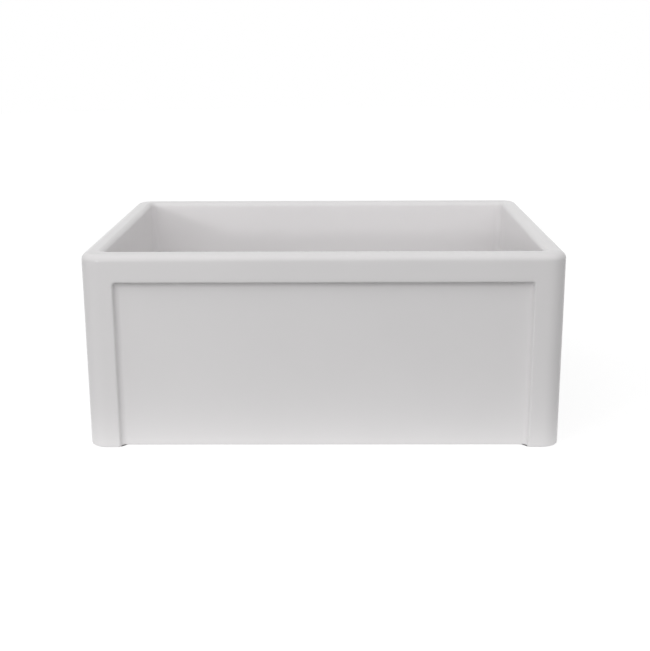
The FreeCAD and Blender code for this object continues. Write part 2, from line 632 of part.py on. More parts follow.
def make_pieces():
    """Every piece of the sink, in the order in which it is put together."""
    return [
        make_sink_body(make_basin_core()),
        make_ring("putty_ring", DRAIN_BORE, FLANGE_RADIUS + " - putty_margin", SEAT, FLANGE_UNDER),
        make_strainer_body(),
        make_ring("rubber_gasket", RING_BORE, RING_RADIUS, GASKET_UNDER, "foot_recess"),
        make_ring("friction_washer", RING_BORE, RING_RADIUS, LOCKNUT_TOP, GASKET_UNDER),
        make_locknut(),
        make_ring("tailpiece_washer", "throat_radius", SPUD_RADIUS, TAIL_WASHER_UNDER, SPUD_END),
        make_coupling_nut(),
        make_basket_cup(),
        make_stopper_seal(),
        make_ring("seal_plate", STUD_HOLE, PLATE_RADIUS, PLATE_UNDER, SEAL_UNDER),
        make_centre_post(),
        make_lift_knob(),
        make_detent_clip(),
    ]


def check_document():
    """Stop if any feature failed."""
    for item in doc.Objects:
        if {"Invalid", "Error"} & set(item.State):
            raise RuntimeError("%s is %s" % (item.Label, item.State))


def write_pieces(pieces):
    """Write one file for each piece, after all of them have proved sound."""
    for piece in pieces:
        if piece.Shape.isNull() or not piece.Shape.isValid() or len(piece.Shape.Solids) != 1:
            raise RuntimeError("%s is not one sound solid" % piece.Label)
    os.makedirs("parts", exist_ok=True)
    for piece in pieces:
        piece.Shape.exportStep("parts/%s.step" % piece.Label)
        print("%-18s %12.1f mm3" % (piece.Label, piece.Shape.Volume))


pieces = make_pieces()
doc.recompute()
check_document()
write_pieces(pieces)
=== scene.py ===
"""A fireclay apron front sink and its basket strainer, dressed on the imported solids.

Sizes in the classes are millimetres, as on a drawing; meshes are made in metres.
The origin is the middle of the underside: +X right, +Z up, and the framed apron looks along -Y.
"""
import logging
import math
from dataclasses import dataclass, field
from enum import Enum

import bpy
import numpy as np
from mathutils import Matrix, Vector


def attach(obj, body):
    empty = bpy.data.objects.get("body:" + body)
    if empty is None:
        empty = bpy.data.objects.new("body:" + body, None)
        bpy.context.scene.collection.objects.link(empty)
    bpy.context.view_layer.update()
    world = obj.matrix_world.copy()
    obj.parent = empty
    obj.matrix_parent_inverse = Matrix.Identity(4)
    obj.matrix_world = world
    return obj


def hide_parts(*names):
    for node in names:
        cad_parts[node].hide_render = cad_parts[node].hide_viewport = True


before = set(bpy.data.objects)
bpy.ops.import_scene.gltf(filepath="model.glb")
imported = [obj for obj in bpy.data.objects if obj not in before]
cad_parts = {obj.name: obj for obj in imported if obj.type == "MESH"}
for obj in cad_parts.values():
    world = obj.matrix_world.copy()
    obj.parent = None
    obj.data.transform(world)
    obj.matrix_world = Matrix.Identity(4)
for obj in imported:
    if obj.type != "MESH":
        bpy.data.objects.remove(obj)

MM = 0.001
TURN = 2 * math.pi
QUARTER = math.pi / 2
LONGEST_ARC = 0.98  # share of its shorter side that a rounded corner may take up
GUARD_OF_RADIUS, GUARD_OF_ROOM, SHORTEST_GUARD = 0.3, 0.2, 1e-3  # flat points beside an arc
THREAD_GAIN, THREAD_LAND = 1.25, 0.1  # flatten the crests and the roots of a thread
CROWDING = 1.4  # rows round a hole lie closer to it than to the edge of its cell
PATCH_LOW, PATCH_HIGH = 0.25, 0.75  # the range that most values of a noise keep to
log = logging.getLogger("sink")

Colour = tuple[float, float, float]
Corner = tuple[float, float, float]
Sheet = tuple[np.ndarray, np.ndarray, np.ndarray]
Socket = bpy.types.NodeSocket


class Body(Enum):
    """The moving bodies that a piece can ride on."""
    SINK = "root"
    BASKET = "basket"


class Ends(Enum):
    """How the rows of a surface end."""
    OPEN = "open"
    JOINED = "joined"
    CAPPED = "capped"


# ---------------------------------------------------------------- surfaces as arrays
def ring_surface(rings: np.ndarray, ends: Ends = Ends.JOINED) -> Sheet:
    """Make vertices and faces for rows of closed rings.

    Vertex (row, column) is rings[row, column]; each quad joins two rows and two columns, and
    the columns always close on themselves.

    Args:
        rings: points of shape (rows, columns, 3).
        ends: JOINED ties the last row to the first, CAPPED closes both with a middle point.

    Returns:
        Vertices (n, 3), quads (m, 4) and triangles (k, 3).
    """
    rows, columns, _ = rings.shape
    index = np.arange(rows * columns).reshape(rows, columns)
    upper = np.roll(index, -1, axis=0) if ends is Ends.JOINED else index[1:]
    lower = index if ends is Ends.JOINED else index[:-1]
    quads = np.stack([lower, np.roll(lower, -1, 1), np.roll(upper, -1, 1), upper], axis=-1)
    vertices = rings.reshape(-1, 3)
    triangles = np.zeros((0, 3), dtype=int)
    if ends is Ends.CAPPED:
        middles = rings[[0, -1]].mean(axis=1)
        vertices = np.vstack([vertices, middles])
        first, last = index[0], index[-1]
        count = rows * columns
        triangles = np.vstack([
            np.stack([np.full(columns, count), np.roll(first, -1), first], axis=-1),
            np.stack([np.full(columns, count + 1), last, np.roll(last, -1)], axis=-1)])
    return vertices, quads.reshape(-1, 4), triangles


def joined(sheets: list[Sheet]) -> Sheet:
    """Weld surfaces into one: corners that share a place become one vertex.

    Args:
        sheets: surfaces whose edges meet point on point.

    Returns:
        One surface without doubled vertices.
    """
    starts = np.cumsum([0] + [len(sheet[0]) for sheet in sheets[:-1]])
    vertices = np.vstack([sheet[0] for sheet in sheets])
    quads, triangles = (np.vstack([sheet[part] + start for sheet, start in zip(sheets, starts)])
                        for part in (1, 2))
    _, first, where = np.unique(np.round(vertices, 3), axis=0, return_index=True,
                                return_inverse=True)
    where = where.reshape(-1)
    return vertices[first], where[quads], where[triangles]


def outward(sheet: Sheet) -> Sheet:
    """Turn every face of a closed surface outwards.

    The signed volume is the sum over triangles of a . (b x c) / 6; where it is negative, the
    order of every face is reversed.

    Args:
        sheet: a closed surface whose faces all turn one way.

    Returns:
        The same surface with its faces outwards.
    """
    vertices, quads, triangles = sheet
    halves = np.vstack([quads[:, [0, 1, 2]], quads[:, [0, 2, 3]], triangles])
    a, b, c = (vertices[halves[:, corner]] for corner in range(3))
    volume = np.einsum("ij,ij->i", a, np.cross(b, c)).sum() / 6
    return sheet if volume > 0 else (vertices, quads[:, ::-1], triangles[:, ::-1])


def softened(corners: list[Corner], closed: bool = True, steps: int = 5) -> np.ndarray:
    """Round the corners of an outline.

    A corner of radius r is replaced by the arc that touches both its sides; a point is added on
    each side close to the arc, so that the flats stay flat under smooth shading.

    Args:
        corners: (across, up, radius) of each corner.
        closed: whether the last corner leads back to the first.
        steps: segments of each arc.

    Returns:
        Points of the outline, shape (n, 2).
    """
    places = np.array([corner[:2] for corner in corners], dtype=float)
    share = np.linspace(0, 1, steps + 1)[:, None]
    pieces = []
    for place, (here, (_, _, radius)) in enumerate(zip(places, corners)):
        if radius == 0 or (not closed and place in (0, len(corners) - 1)):
            pieces.append(here[None])
            continue
        back, ahead = places[place - 1] - here, places[(place + 1) % len(corners)] - here
        room = 0.5 * min(np.linalg.norm(back), np.linalg.norm(ahead))
        back, ahead = back / np.linalg.norm(back), ahead / np.linalg.norm(ahead)
        half = 0.5 * math.acos(float(np.clip(back @ ahead, -1, 1)))
        reach = min(radius / math.tan(half), LONGEST_ARC * room * 2)
        radius = reach * math.tan(half)
        bisector = (back + ahead) / np.linalg.norm(back + ahead)
        centre = here + bisector * radius / math.sin(half)
        start, end = here + back * reach - centre, here + ahead * reach - centre
        sweep = math.pi - 2 * half
        arc = centre + (np.sin((1 - share) * sweep) * start
                        + np.sin(share * sweep) * end) / math.sin(sweep)
        guard = min(GUARD_OF_RADIUS * radius, GUARD_OF_ROOM * max(room - reach, 0))
        if guard > SHORTEST_GUARD:
            arc = np.vstack([arc[0] + back * guard, arc, arc[-1] + ahead * guard])
        pieces.append(arc)
    return np.vstack(pieces)


def quarter_round(radius: float, points: int) -> list[tuple[float, float]]:
    """Walk a quarter round: (r - r cos t, r - r sin t) for t from 0 to 90 degrees."""
    return [(radius * (1 - math.cos(turn)), radius * (1 - math.sin(turn)))
            for turn in np.linspace(0, QUARTER, points)]


def between(start: tuple[float, ...], end: tuple[float, ...], share: float) -> list[float]:
    """Numbers that lie a share of the way from one row of numbers to another."""
    return [first + (last - first) * share for first, last in zip(start, end)]


def evenly(count: int) -> np.ndarray:
    """Angles from 0 that divide a full turn evenly."""
    return np.arange(count) * TURN / count


def polar(radius: float | np.ndarray, angle: np.ndarray,
          height: float | np.ndarray | None = None) -> np.ndarray:
    """Points (r cos t, r sin t) round the drain's axis, or (r cos t, r sin t, z) at a height."""
    parts = [radius * np.cos(angle), radius * np.sin(angle)]
    if height is not None:
        parts.append(np.broadcast_to(height, parts[0].shape))
    return np.stack(parts, axis=-1)


def spun(points: np.ndarray, angle: np.ndarray | float) -> np.ndarray:
    """Turn level points about the drain's axis by angles that broadcast against them."""
    x, y = points[..., 0], points[..., 1]
    cos, sin = np.cos(angle), np.sin(angle)
    return np.stack([cos * x - sin * y, sin * x + cos * y], axis=-1)


def upright(radius: float, heights: np.ndarray) -> np.ndarray:
    """An upright stretch of a profile: one radius at many heights."""
    return np.column_stack([np.full(len(heights), radius), heights])


def turned(profile: np.ndarray, columns: int, phase: float = 0.0) -> np.ndarray:
    """Turn a profile round the drain's axis: (r, z) becomes (r cos t, r sin t, z).

    Args:
        profile: (radius, height) of each row.
        columns: points round the axis.
        phase: angle of the first column, in radians.

    Returns:
        Rings of shape (rows, columns, 3).
    """
    return polar(profile[:, :1], phase + evenly(columns), profile[:, 1:])


def lathe(profile: np.ndarray, columns: int, ends: Ends = Ends.JOINED) -> Sheet:
    """Turn a profile round the drain's axis into a closed surface that faces outwards."""
    return outward(ring_surface(turned(profile, columns), ends))


def threaded(rings: np.ndarray, pitch: float, depth: float, low: float, high: float,
             chosen: np.ndarray) -> np.ndarray:
    """Cut a helical thread into a turned surface.

    The phase of a point is its height over the pitch less its angle over a full turn. The
    radius changes by depth times a wave of that phase with flattened crests and roots, faded in
    over one pitch at each end.

    Args:
        rings: the turned surface.
        pitch: rise of one turn.
        depth: change of radius, negative to cut inwards.
        low: lower end of the thread.
        high: upper end of the thread.
        chosen: rows that carry the thread.

    Returns:
        The threaded rings.
    """
    x, y, z = np.moveaxis(rings, -1, 0)
    wave = 0.5 - 0.5 * np.cos(TURN * (z / pitch - np.arctan2(y, x) / TURN))
    wave = np.clip(THREAD_GAIN * wave - THREAD_LAND, 0, 1)
    fade = np.clip((z - low) / pitch, 0, 1) * np.clip((high - z) / pitch, 0, 1)
    scale = 1 + depth * wave * fade * chosen[:, None] / np.maximum(np.hypot(x, y), 1)
    return np.stack([x * scale, y * scale, z], axis=-1)


def stacked(plans: list[np.ndarray], heights: np.ndarray) -> np.ndarray:
    """Lay level outlines of equal length at their heights as the rings of a surface."""
    return np.stack([np.column_stack([plan, np.full(len(plan), height)])
                     for plan, height in zip(plans, heights)])


def by_length(outline: np.ndarray, spacing: float) -> np.ndarray:
    """Put more points on the long sides of a closed outline, none of its own moved.

    Args:
        outline: (n, 2) points.
        spacing: the longest side that stays whole.

    Returns:
        The outline with its long sides divided evenly.
    """
    following = np.roll(outline, -1, axis=0)
    parts = np.ceil(np.linalg.norm(following - outline, axis=1) / spacing).astype(int).clip(1)
    return np.vstack([start + (end - start) * np.linspace(0, 1, count, endpoint=False)[:, None]
                      for start, end, count in zip(outline, following, parts)])


def pierced(axis_low: np.ndarray, axis_high: np.ndarray, radius: float, edge: np.ndarray,
            rows: int) -> np.ndarray:
    """Lay rings between a round-ended hole and the edge of the cell it is in.

    Each point of the edge looks to the nearest point of the hole's axis; its partner on the hole
    lies one radius from there, and the rows in between crowd towards the hole.

    Args:
        axis_low: one end of the hole's axis.
        axis_high: other end, the same for a round hole.
        radius: half the hole's width.
        edge: (n, 2) points round the cell.
        rows: rows of faces.

    Returns:
        Flat rings of shape (rows + 1, n, 2).
    """
    run = axis_high - axis_low
    share = np.clip((edge - axis_low) @ run / max(run @ run, 1e-9), 0, 1)
    nearest = axis_low + share[:, None] * run
    away = edge - nearest
    hole = nearest + radius * away / np.linalg.norm(away, axis=1, keepdims=True)
    step = (np.linspace(0, 1, rows + 1) ** CROWDING)[:, None, None]
    return hole + (edge - hole) * step


def frame_of_cell(low: np.ndarray, high: np.ndarray, across: int, along: int) -> np.ndarray:
    """Walk the edge of a rectangular cell: bottom, right, top, left.

    Args:
        low: lower left corner.
        high: upper right corner.
        across: sides on the bottom and on the top.
        along: sides on the left and on the right.

    Returns:
        (2 * across + 2 * along, 2) points.
    """
    flat, tall = (np.linspace(0, 1, count, endpoint=False) for count in (across, along))
    sides = [(flat, 0 * flat), (1 + 0 * tall, tall), (1 - flat, 1 + 0 * flat), (0 * tall, 1 - tall)]
    return low + np.vstack([np.column_stack(side) for side in sides]) * (high - low)


# ---------------------------------------------------------------- pieces
def hang(name: str, data: bpy.types.ID) -> bpy.types.Object:
    """Put an object with its data into the scene."""
    made = bpy.data.objects.new(name, data)
    bpy.context.scene.collection.objects.link(made)
    return made


def add_piece(name: str, sheet: Sheet, finish: "Finish", body: Body,
              nodes: tuple[str, ...] = (), sharp: float | None = 38.0) -> bpy.types.Object:
    """Put a surface into the scene as a piece.

    Args:
        name: the piece's name.
        sheet: vertices in millimetres, quads and triangles.
        finish: what its surface looks like.
        body: what it rides on.
        nodes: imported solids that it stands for.
        sharp: edges that turn by more degrees than this stay crisp; None keeps all smooth.

    Returns:
        The new object.
    """
    vertices, quads, triangles = sheet
    totals = np.repeat([4, 3], [len(quads), len(triangles)]).astype(np.int32)
    loops = np.concatenate([quads.ravel(), triangles.ravel()]).astype(np.int32)
    mesh = bpy.data.meshes.new(name)
    mesh.vertices.add(len(vertices))
    mesh.vertices.foreach_set("co", (vertices * MM).astype(np.float32).ravel())
    mesh.loops.add(len(loops))
    mesh.loops.foreach_set("vertex_index", loops)
    mesh.polygons.add(len(totals))
    for what, values in (("loop_start", (np.cumsum(totals) - totals).astype(np.int32)),
                         ("loop_total", totals),
                         ("use_smooth", np.ones(len(totals), dtype=bool))):
        mesh.polygons.foreach_set(what, values)
    mesh.update(calc_edges=True)
    mesh.validate()
    if sharp is not None:
        mesh.set_sharp_from_angle(angle=math.radians(sharp))
    mesh.materials.append(finish.material())
    piece = hang(name, mesh)
    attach(piece, body.value)
    if nodes:
        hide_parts(*nodes)
    log.info("%-18s %7d faces, on %s", name, len(totals), body.value)
    return piece


# ---------------------------------------------------------------- finishes
class Nodes:
    """The nodes of a material or of the world while they are being laid."""

    def __init__(self, owner: bpy.types.Material | bpy.types.World) -> None:
        """Start on the owner's own tree."""
        owner.use_nodes = True
        self.tree = owner.node_tree

    def feed(self, target: Socket, value: object) -> None:
        """Link an output to an input, or give the input a value."""
        if isinstance(value, Socket):
            self.tree.links.new(value, target)
        else:
            target.default_value = value

    def node(self, kind: str, inputs: dict[str | int, object] | None = None,
             **settings: object) -> bpy.types.Node:
        """Add a node.

        Args:
            kind: the node's type without its first word.
            inputs: what each input gets, a value or an output, by its name or number.
            settings: the node's properties.

        Returns:
            The new node.
        """
        node = self.tree.nodes.new("ShaderNode" + kind)
        for name, value in settings.items():
            setattr(node, name, value)
        for name, value in (inputs or {}).items():
            self.feed(node.inputs[name], value)
        return node

    def combine(self, operation: str, first: object, second: object = 0.0,
                clamp: bool = False) -> Socket:
        """Join two numbers or outputs by a sum, a product or the like."""
        return self.node("Math", {0: first, 1: second}, operation=operation,
                         use_clamp=clamp).outputs[0]


class Shader(Nodes):
    """The nodes of a piece's finish; its patterns follow the piece's own place."""

    def __init__(self, name: str) -> None:
        """Start a material with one surface shader and the piece's own coordinates."""
        self.material = bpy.data.materials.new(name)
        super().__init__(self.material)
        self.surface = self.tree.nodes["Principled BSDF"]
        self.place = self.node("TexCoord").outputs["Object"]

    def steady(self, **values: float | Colour) -> None:
        """Set values that are the same all over the surface, by socket name with _ for a space."""
        for name, value in values.items():
            socket = self.surface.inputs[name.replace("_", " ")]
            socket.default_value = (*value, 1.0) if isinstance(value, tuple) else value

    def noise(self, scale: float, detail: float = 3.0, stretch: Colour = (1, 1, 1),
              place: Socket | None = None) -> Socket:
        """Soft random patches.

        Args:
            scale: patches to the metre.
            detail: octaves of finer patches.
            stretch: factor on each axis.
            place: coordinates, the piece's own if left out.

        Returns:
            A value around 0.5.
        """
        mapping = self.node("Mapping", {"Scale": stretch, "Vector": place or self.place})
        return self.node("TexNoise", {"Scale": scale, "Detail": detail,
                                      "Vector": mapping.outputs["Vector"]}).outputs["Fac"]

    def round_the_axis(self) -> Socket:
        """Coordinates (radius, height, 0) about the drain, on which turning marks are rings."""
        parts = self.node("SeparateXYZ", {0: self.place})
        level = self.node("VectorMath", {0: self.place, 1: (1, 1, 0)}, operation="MULTIPLY")
        length = self.node("VectorMath", {0: level.outputs[0]}, operation="LENGTH")
        return self.node("CombineXYZ", {0: length.outputs["Value"], 1: parts.outputs[2]}).outputs[0]

    def spread(self, value: Socket, low: float, high: float) -> Socket:
        """Map the usual range of a noise to low..high, easing at both ends."""
        ends = {"From Min": PATCH_LOW, "From Max": PATCH_HIGH, "To Min": low, "To Max": high}
        return self.node("MapRange", {"Value": value, **ends},
                         interpolation_type="SMOOTHSTEP").outputs["Result"]

    def tint(self, value: Socket, low: Colour, high: Colour) -> None:
        """Let a value shift the surface's colour from low to high."""
        mix = self.node("Mix", {"Factor": self.spread(value, 0, 1)}, data_type="RGBA")
        ends = [socket for socket in mix.inputs if socket.type == "RGBA"]
        for socket, colour in zip(ends, (low, high)):
            socket.default_value = (*colour, 1)
        result = next(socket for socket in mix.outputs if socket.type == "RGBA")
        self.feed(self.surface.inputs["Base Color"], result)

    def gloss(self, value: Socket, low: float, high: float) -> None:
        """Let a value shift the surface's roughness from low to high."""
        self.feed(self.surface.inputs["Roughness"], self.spread(value, low, high))

    def relief(self, *layers: tuple[Socket, float]) -> None:
        """Raise the surface by each value times its height in millimetres, one on another."""
        above = self.surface.inputs["Normal"]
        for value, height in reversed(layers):
            bump = self.node("Bump", {"Strength": 1.0, "Distance": height * MM, "Height": value})
            self.feed(above, bump.outputs["Normal"])
            above = bump.inputs["Normal"]


@dataclass(frozen=True)
class Finish:
    """A surface with two close colours, a range of gloss and a fine relief.

    Subclasses lay further nodes in dress().
    """
    name: str
    light: Colour
    dark: Colour
    smooth: float
    rough: float
    patch: float = 25.0
    grain: float = 900.0
    grain_height: float = 0.02

    def material(self) -> bpy.types.Material:
        """The finish's material, made on first use."""
        ready = bpy.data.materials.get(self.name)
        if ready:
            return ready
        shader = Shader(self.name)
        self.dress(shader)
        return shader.material

    def dress(self, shader: Shader) -> None:
        """Lay the nodes of a plain matt surface."""
        patches = shader.noise(self.patch)
        shader.tint(patches, self.dark, self.light)
        shader.gloss(shader.noise(self.patch * 3), self.smooth, self.rough)
        shader.relief((shader.noise(self.grain, 2.0), self.grain_height))


@dataclass(frozen=True)
class Glaze(Finish):
    """White glaze fired over fireclay: a clear glassy coat, faint mottling and a slow ripple."""
    ripple: float = 14.0
    ripple_height: float = 0.16
    coat: float = 0.3
    coat_roughness: float = 0.1

    def dress(self, shader: Shader) -> None:
        """Lay mottled colour, a soft body gloss, the glassy coat, ripple and orange peel."""
        shader.steady(Specular_IOR_Level=0.2, Coat_Weight=self.coat,
                      Coat_Roughness=self.coat_roughness, Coat_IOR=1.45)
        shader.tint(shader.noise(self.patch, 4.0), self.dark, self.light)
        shader.gloss(shader.noise(self.patch * 2.5, 2.0), self.smooth, self.rough)
        shader.relief((shader.noise(self.ripple, 2.0), self.ripple_height),
                      (shader.noise(self.grain, 1.0), self.grain_height))


@dataclass(frozen=True)
class TurnedMetal(Finish):
    """Metal with the fine rings that turning, spinning or circular brushing leaves."""
    ring_scale: float = 2600.0
    ring_height: float = 0.006

    def dress(self, shader: Shader) -> None:
        """Lay metal whose gloss and relief vary along rings round the axis."""
        shader.steady(Metallic=1.0)
        rings = shader.noise(self.ring_scale, 4.0, (1.0, 0.6, 1.0), shader.round_the_axis())
        shader.tint(shader.noise(self.patch), self.dark, self.light)
        shader.gloss(rings, self.smooth, self.rough)
        shader.relief((rings, self.ring_height), (shader.noise(self.grain, 3.0), self.grain_height))


@dataclass(frozen=True)
class CastMetal(Finish):
    """Die-cast or rolled metal with a grainy skin and dull patches."""

    def dress(self, shader: Shader) -> None:
        """Lay metal with tarnish patches and cast grain."""
        shader.steady(Metallic=1.0)
        shader.tint(shader.noise(self.patch, 5.0), self.dark, self.light)
        shader.gloss(shader.noise(self.patch * 2, 5.0), self.smooth, self.rough)
        shader.relief((shader.noise(self.grain, 4.0), self.grain_height))


GLAZE = Glaze("white_glaze", (0.877, 0.862, 0.866), (0.863, 0.848, 0.852), 0.29, 0.35,
              patch=9.0, grain=420.0, grain_height=0.012)
BISQUE = Finish("bare_fireclay", (0.76, 0.70, 0.60), (0.68, 0.61, 0.51), 0.78, 0.92,
                patch=30.0, grain=1100.0, grain_height=0.12)
STRAINER_STEEL = TurnedMetal("spun_steel", (0.66, 0.655, 0.64), (0.58, 0.575, 0.565), 0.29, 0.37)
BASKET_STEEL = TurnedMetal("basket_steel", (0.68, 0.675, 0.66), (0.60, 0.595, 0.585), 0.29, 0.40)
POST_STEEL = TurnedMetal("polished_steel", (0.74, 0.74, 0.735), (0.69, 0.69, 0.685), 0.08, 0.18,
                         ring_height=0.002, grain_height=0.004)
SPRING_STEEL = CastMetal("spring_steel", (0.56, 0.57, 0.59), (0.46, 0.47, 0.50), 0.29, 0.42,
                         patch=120.0, grain=1500.0, grain_height=0.006)
ZINC = CastMetal("cast_zinc", (0.52, 0.52, 0.525), (0.40, 0.40, 0.41), 0.42, 0.62,
                 patch=60.0, grain=1300.0, grain_height=0.05)
BRASS = CastMetal("rolled_brass", (0.76, 0.58, 0.30), (0.60, 0.44, 0.22), 0.29, 0.48,
                  patch=55.0, grain=1500.0, grain_height=0.02)
RUBBER = Finish("black_rubber", (0.045, 0.045, 0.047), (0.028, 0.028, 0.03), 0.55, 0.75,
                patch=60.0, grain=1600.0, grain_height=0.03)
PUTTY = Finish("plumbers_putty", (0.60, 0.54, 0.43), (0.50, 0.44, 0.34), 0.6, 0.85,
               patch=80.0, grain=700.0, grain_height=0.15)
PAPER = Finish("washer_paper", (0.46, 0.36, 0.25), (0.36, 0.27, 0.18), 0.8, 0.95,
               patch=150.0, grain=1400.0, grain_height=0.06)
PLASTIC = Finish("washer_plastic", (0.78, 0.77, 0.73), (0.72, 0.71, 0.67), 0.38, 0.52,
                 patch=70.0, grain=1200.0, grain_height=0.015)


# ---------------------------------------------------------------- the fireclay body
@dataclass
class FireclayBody:
    """The slip-cast sink: walls, rim, framed apron, sloping floor, drain seat and underside."""
    half_width: float = 304.8
    half_depth: float = 228.6
    height: float = 254.0
    wall: float = 25.4
    outer_corner: float = 24.0
    basin_corner: float = 10.0
    rim_outer_round: float = 9.5
    rim_inner_round: float = 7.0
    foot_round: float = 2.0
    cove: float = 9.5
    drain_level: float = 22.0
    slope: float = 0.02
    level_ring: float = 64.5
    post_face: float = 39.0
    rail_face: float = 34.3
    shoulder_round: float = 2.5
    cove_round: float = 6.5
    step_depth: float = 9.5
    step_angle: float = 74.0
    step_start: float = -0.25
    corner_blend: float = 5.0
    hole: float = 45.0
    hole_round: float = 1.5
    seat: float = 58.5
    seat_level: float = 18.5
    seat_round: float = 2.0
    foot_band: float = 42.0
    recess: float = 3.0
    recess_corner: float = 20.0
    recess_round: float = 1.5
    waviness: float = 0.12
    seat_edge: float = 0.4
    panel_columns: int = 108
    side_columns: int = 66
    back_columns: int = 92
    columns: dict[str, np.ndarray] = field(default_factory=dict)

    def step_widths(self) -> tuple[float, float, float]:
        """Widths of the step's crisp round, its steep stretch and its soft hollow round."""
        steep = math.radians(self.step_angle)
        rounds = self.shoulder_round + self.cove_round
        straight = (self.step_depth - rounds * (1 - math.cos(steep))) / math.sin(steep)
        return (self.shoulder_round * math.sin(steep), straight * math.cos(steep),
                self.cove_round * math.sin(steep))

    def step_stations(self) -> np.ndarray:
        """Distances from the frame's edge at which the step needs a line of points.

        They are evenly spread along the step's own curve: by angle on both rounds, by length on
        the steep stretch between them.

        Returns:
            Rising distances from the start to the end of the step.
        """
        steep = math.radians(self.step_angle)
        first, second, third = self.step_widths()
        shoulder = self.shoulder_round * np.sin(np.linspace(0, steep, 6))
        straight = first + second * np.linspace(0, 1, 5)[1:-1]
        hollow = first + second + third - self.cove_round * np.sin(np.linspace(steep, 0, 12))
        return self.step_start + np.concatenate([shoulder, straight, hollow])

    def step(self, distance: np.ndarray) -> np.ndarray:
        """How deep the apron lies at a distance inside the frame's edge.

        An arc of the shoulder's radius turns down to the steep angle, a straight stretch goes
        on, and an arc of the hollow's radius turns back to the panel.

        Args:
            distance: inward distance from the edge, negative on the frame.

        Returns:
            Depth behind the frame's face.
        """
        first, second, third = self.step_widths()
        slope = math.tan(math.radians(self.step_angle))
        t = distance - self.step_start
        shoulder, hollow = (
            radius - np.sqrt(np.maximum(radius ** 2 - part ** 2, 0)) for radius, part in (
                (self.shoulder_round, t), (self.cove_round, first + second + third - t)))
        straight = self.shoulder_round * (1 - math.cos(math.radians(self.step_angle))) \
            + (t - first) * slope
        return np.select([t <= 0, t < first, t < first + second, t < first + second + third],
                         [0 * t, shoulder, straight, self.step_depth - hollow], self.step_depth)

    def inside_frame(self, x: np.ndarray, z: np.ndarray) -> np.ndarray:
        """Distance inside the frame's edge: the nearer of post and rail, blended at the mitre."""
        from_post = self.half_width - self.post_face - np.abs(x)
        from_rail = self.height - self.rail_face - z
        near = np.maximum(1 - np.abs(from_post - from_rail) / self.corner_blend, 0)
        return np.minimum(from_post, from_rail) - self.corner_blend * near ** 2 / 4

    def lay_columns(self) -> None:
        """Place the columns of points round the sink, crowded where the apron steps.

        A column is kept as the corner centre it belongs to, (cx, cy) from -1 to 1, and its
        outward direction (nx, ny), so that it fits any outline with any corner radius.
        """
        straight = self.half_width - self.outer_corner
        steps = self.half_width - self.post_face - self.step_stations()
        panel = np.linspace(-steps[-1], steps[-1], self.panel_columns)[1:-1]
        post = np.linspace(straight, steps[0], 7)[:-1]
        front = np.concatenate([-post, -steps, panel, steps[::-1], post[::-1]]) / straight
        side = np.linspace(-1, 1, self.side_columns)
        back = np.linspace(1, -1, self.back_columns)
        bend = np.linspace(0, QUARTER, 12)[1:-1]
        runs = ((front, -1, -QUARTER), (1, -1, bend - QUARTER), (1, side, 0), (1, 1, bend),
                (back, 1, QUARTER), (-1, 1, bend + QUARTER),
                (-1, side[::-1], math.pi), (-1, -1, bend + math.pi))
        cx, cy, turn = (np.concatenate(values)
                        for values in zip(*(np.broadcast_arrays(*run) for run in runs)))
        self.columns = {"cx": cx, "cy": cy, "nx": np.cos(turn), "ny": np.sin(turn),
                        "front": np.arange(len(cx)) < len(front)}

    def outline(self, inset: float, corner: float) -> np.ndarray:
        """A level outline: corner centre plus corner radius times outward direction.

        Args:
            inset: distance inside the outer walls.
            corner: corner radius of this outline.

        Returns:
            (columns, 2) points.
        """
        c = self.columns
        return np.column_stack([
            c["cx"] * (self.half_width - inset - corner) + corner * c["nx"],
            c["cy"] * (self.half_depth - inset - corner) + corner * c["ny"]])

    def floor_level(self, plan: np.ndarray) -> np.ndarray:
        """Height of the basin floor: it rises evenly with the distance from the drain."""
        away = np.hypot(plan[:, 0], plan[:, 1]) - self.level_ring
        return self.drain_level + self.slope * np.maximum(away, 0)

    def rows(self) -> tuple[np.ndarray, np.ndarray, np.ndarray]:
        """Walk the sink's whole section, from the drain hole under it, round it and back.

        Returns:
            Rings (rows, columns, 3), each row's share of the apron's step, and whether the row
            is bare of glaze.
        """
        rings, shares, bare = [], [], []

        def lay(plan: np.ndarray, height: float | np.ndarray, share: float = 0.0,
                unglazed: bool = False) -> None:
            """Add one row."""
            rings.append(np.column_stack([plan, np.broadcast_to(height, len(plan))]))
            shares.append(share)
            bare.append(unglazed)

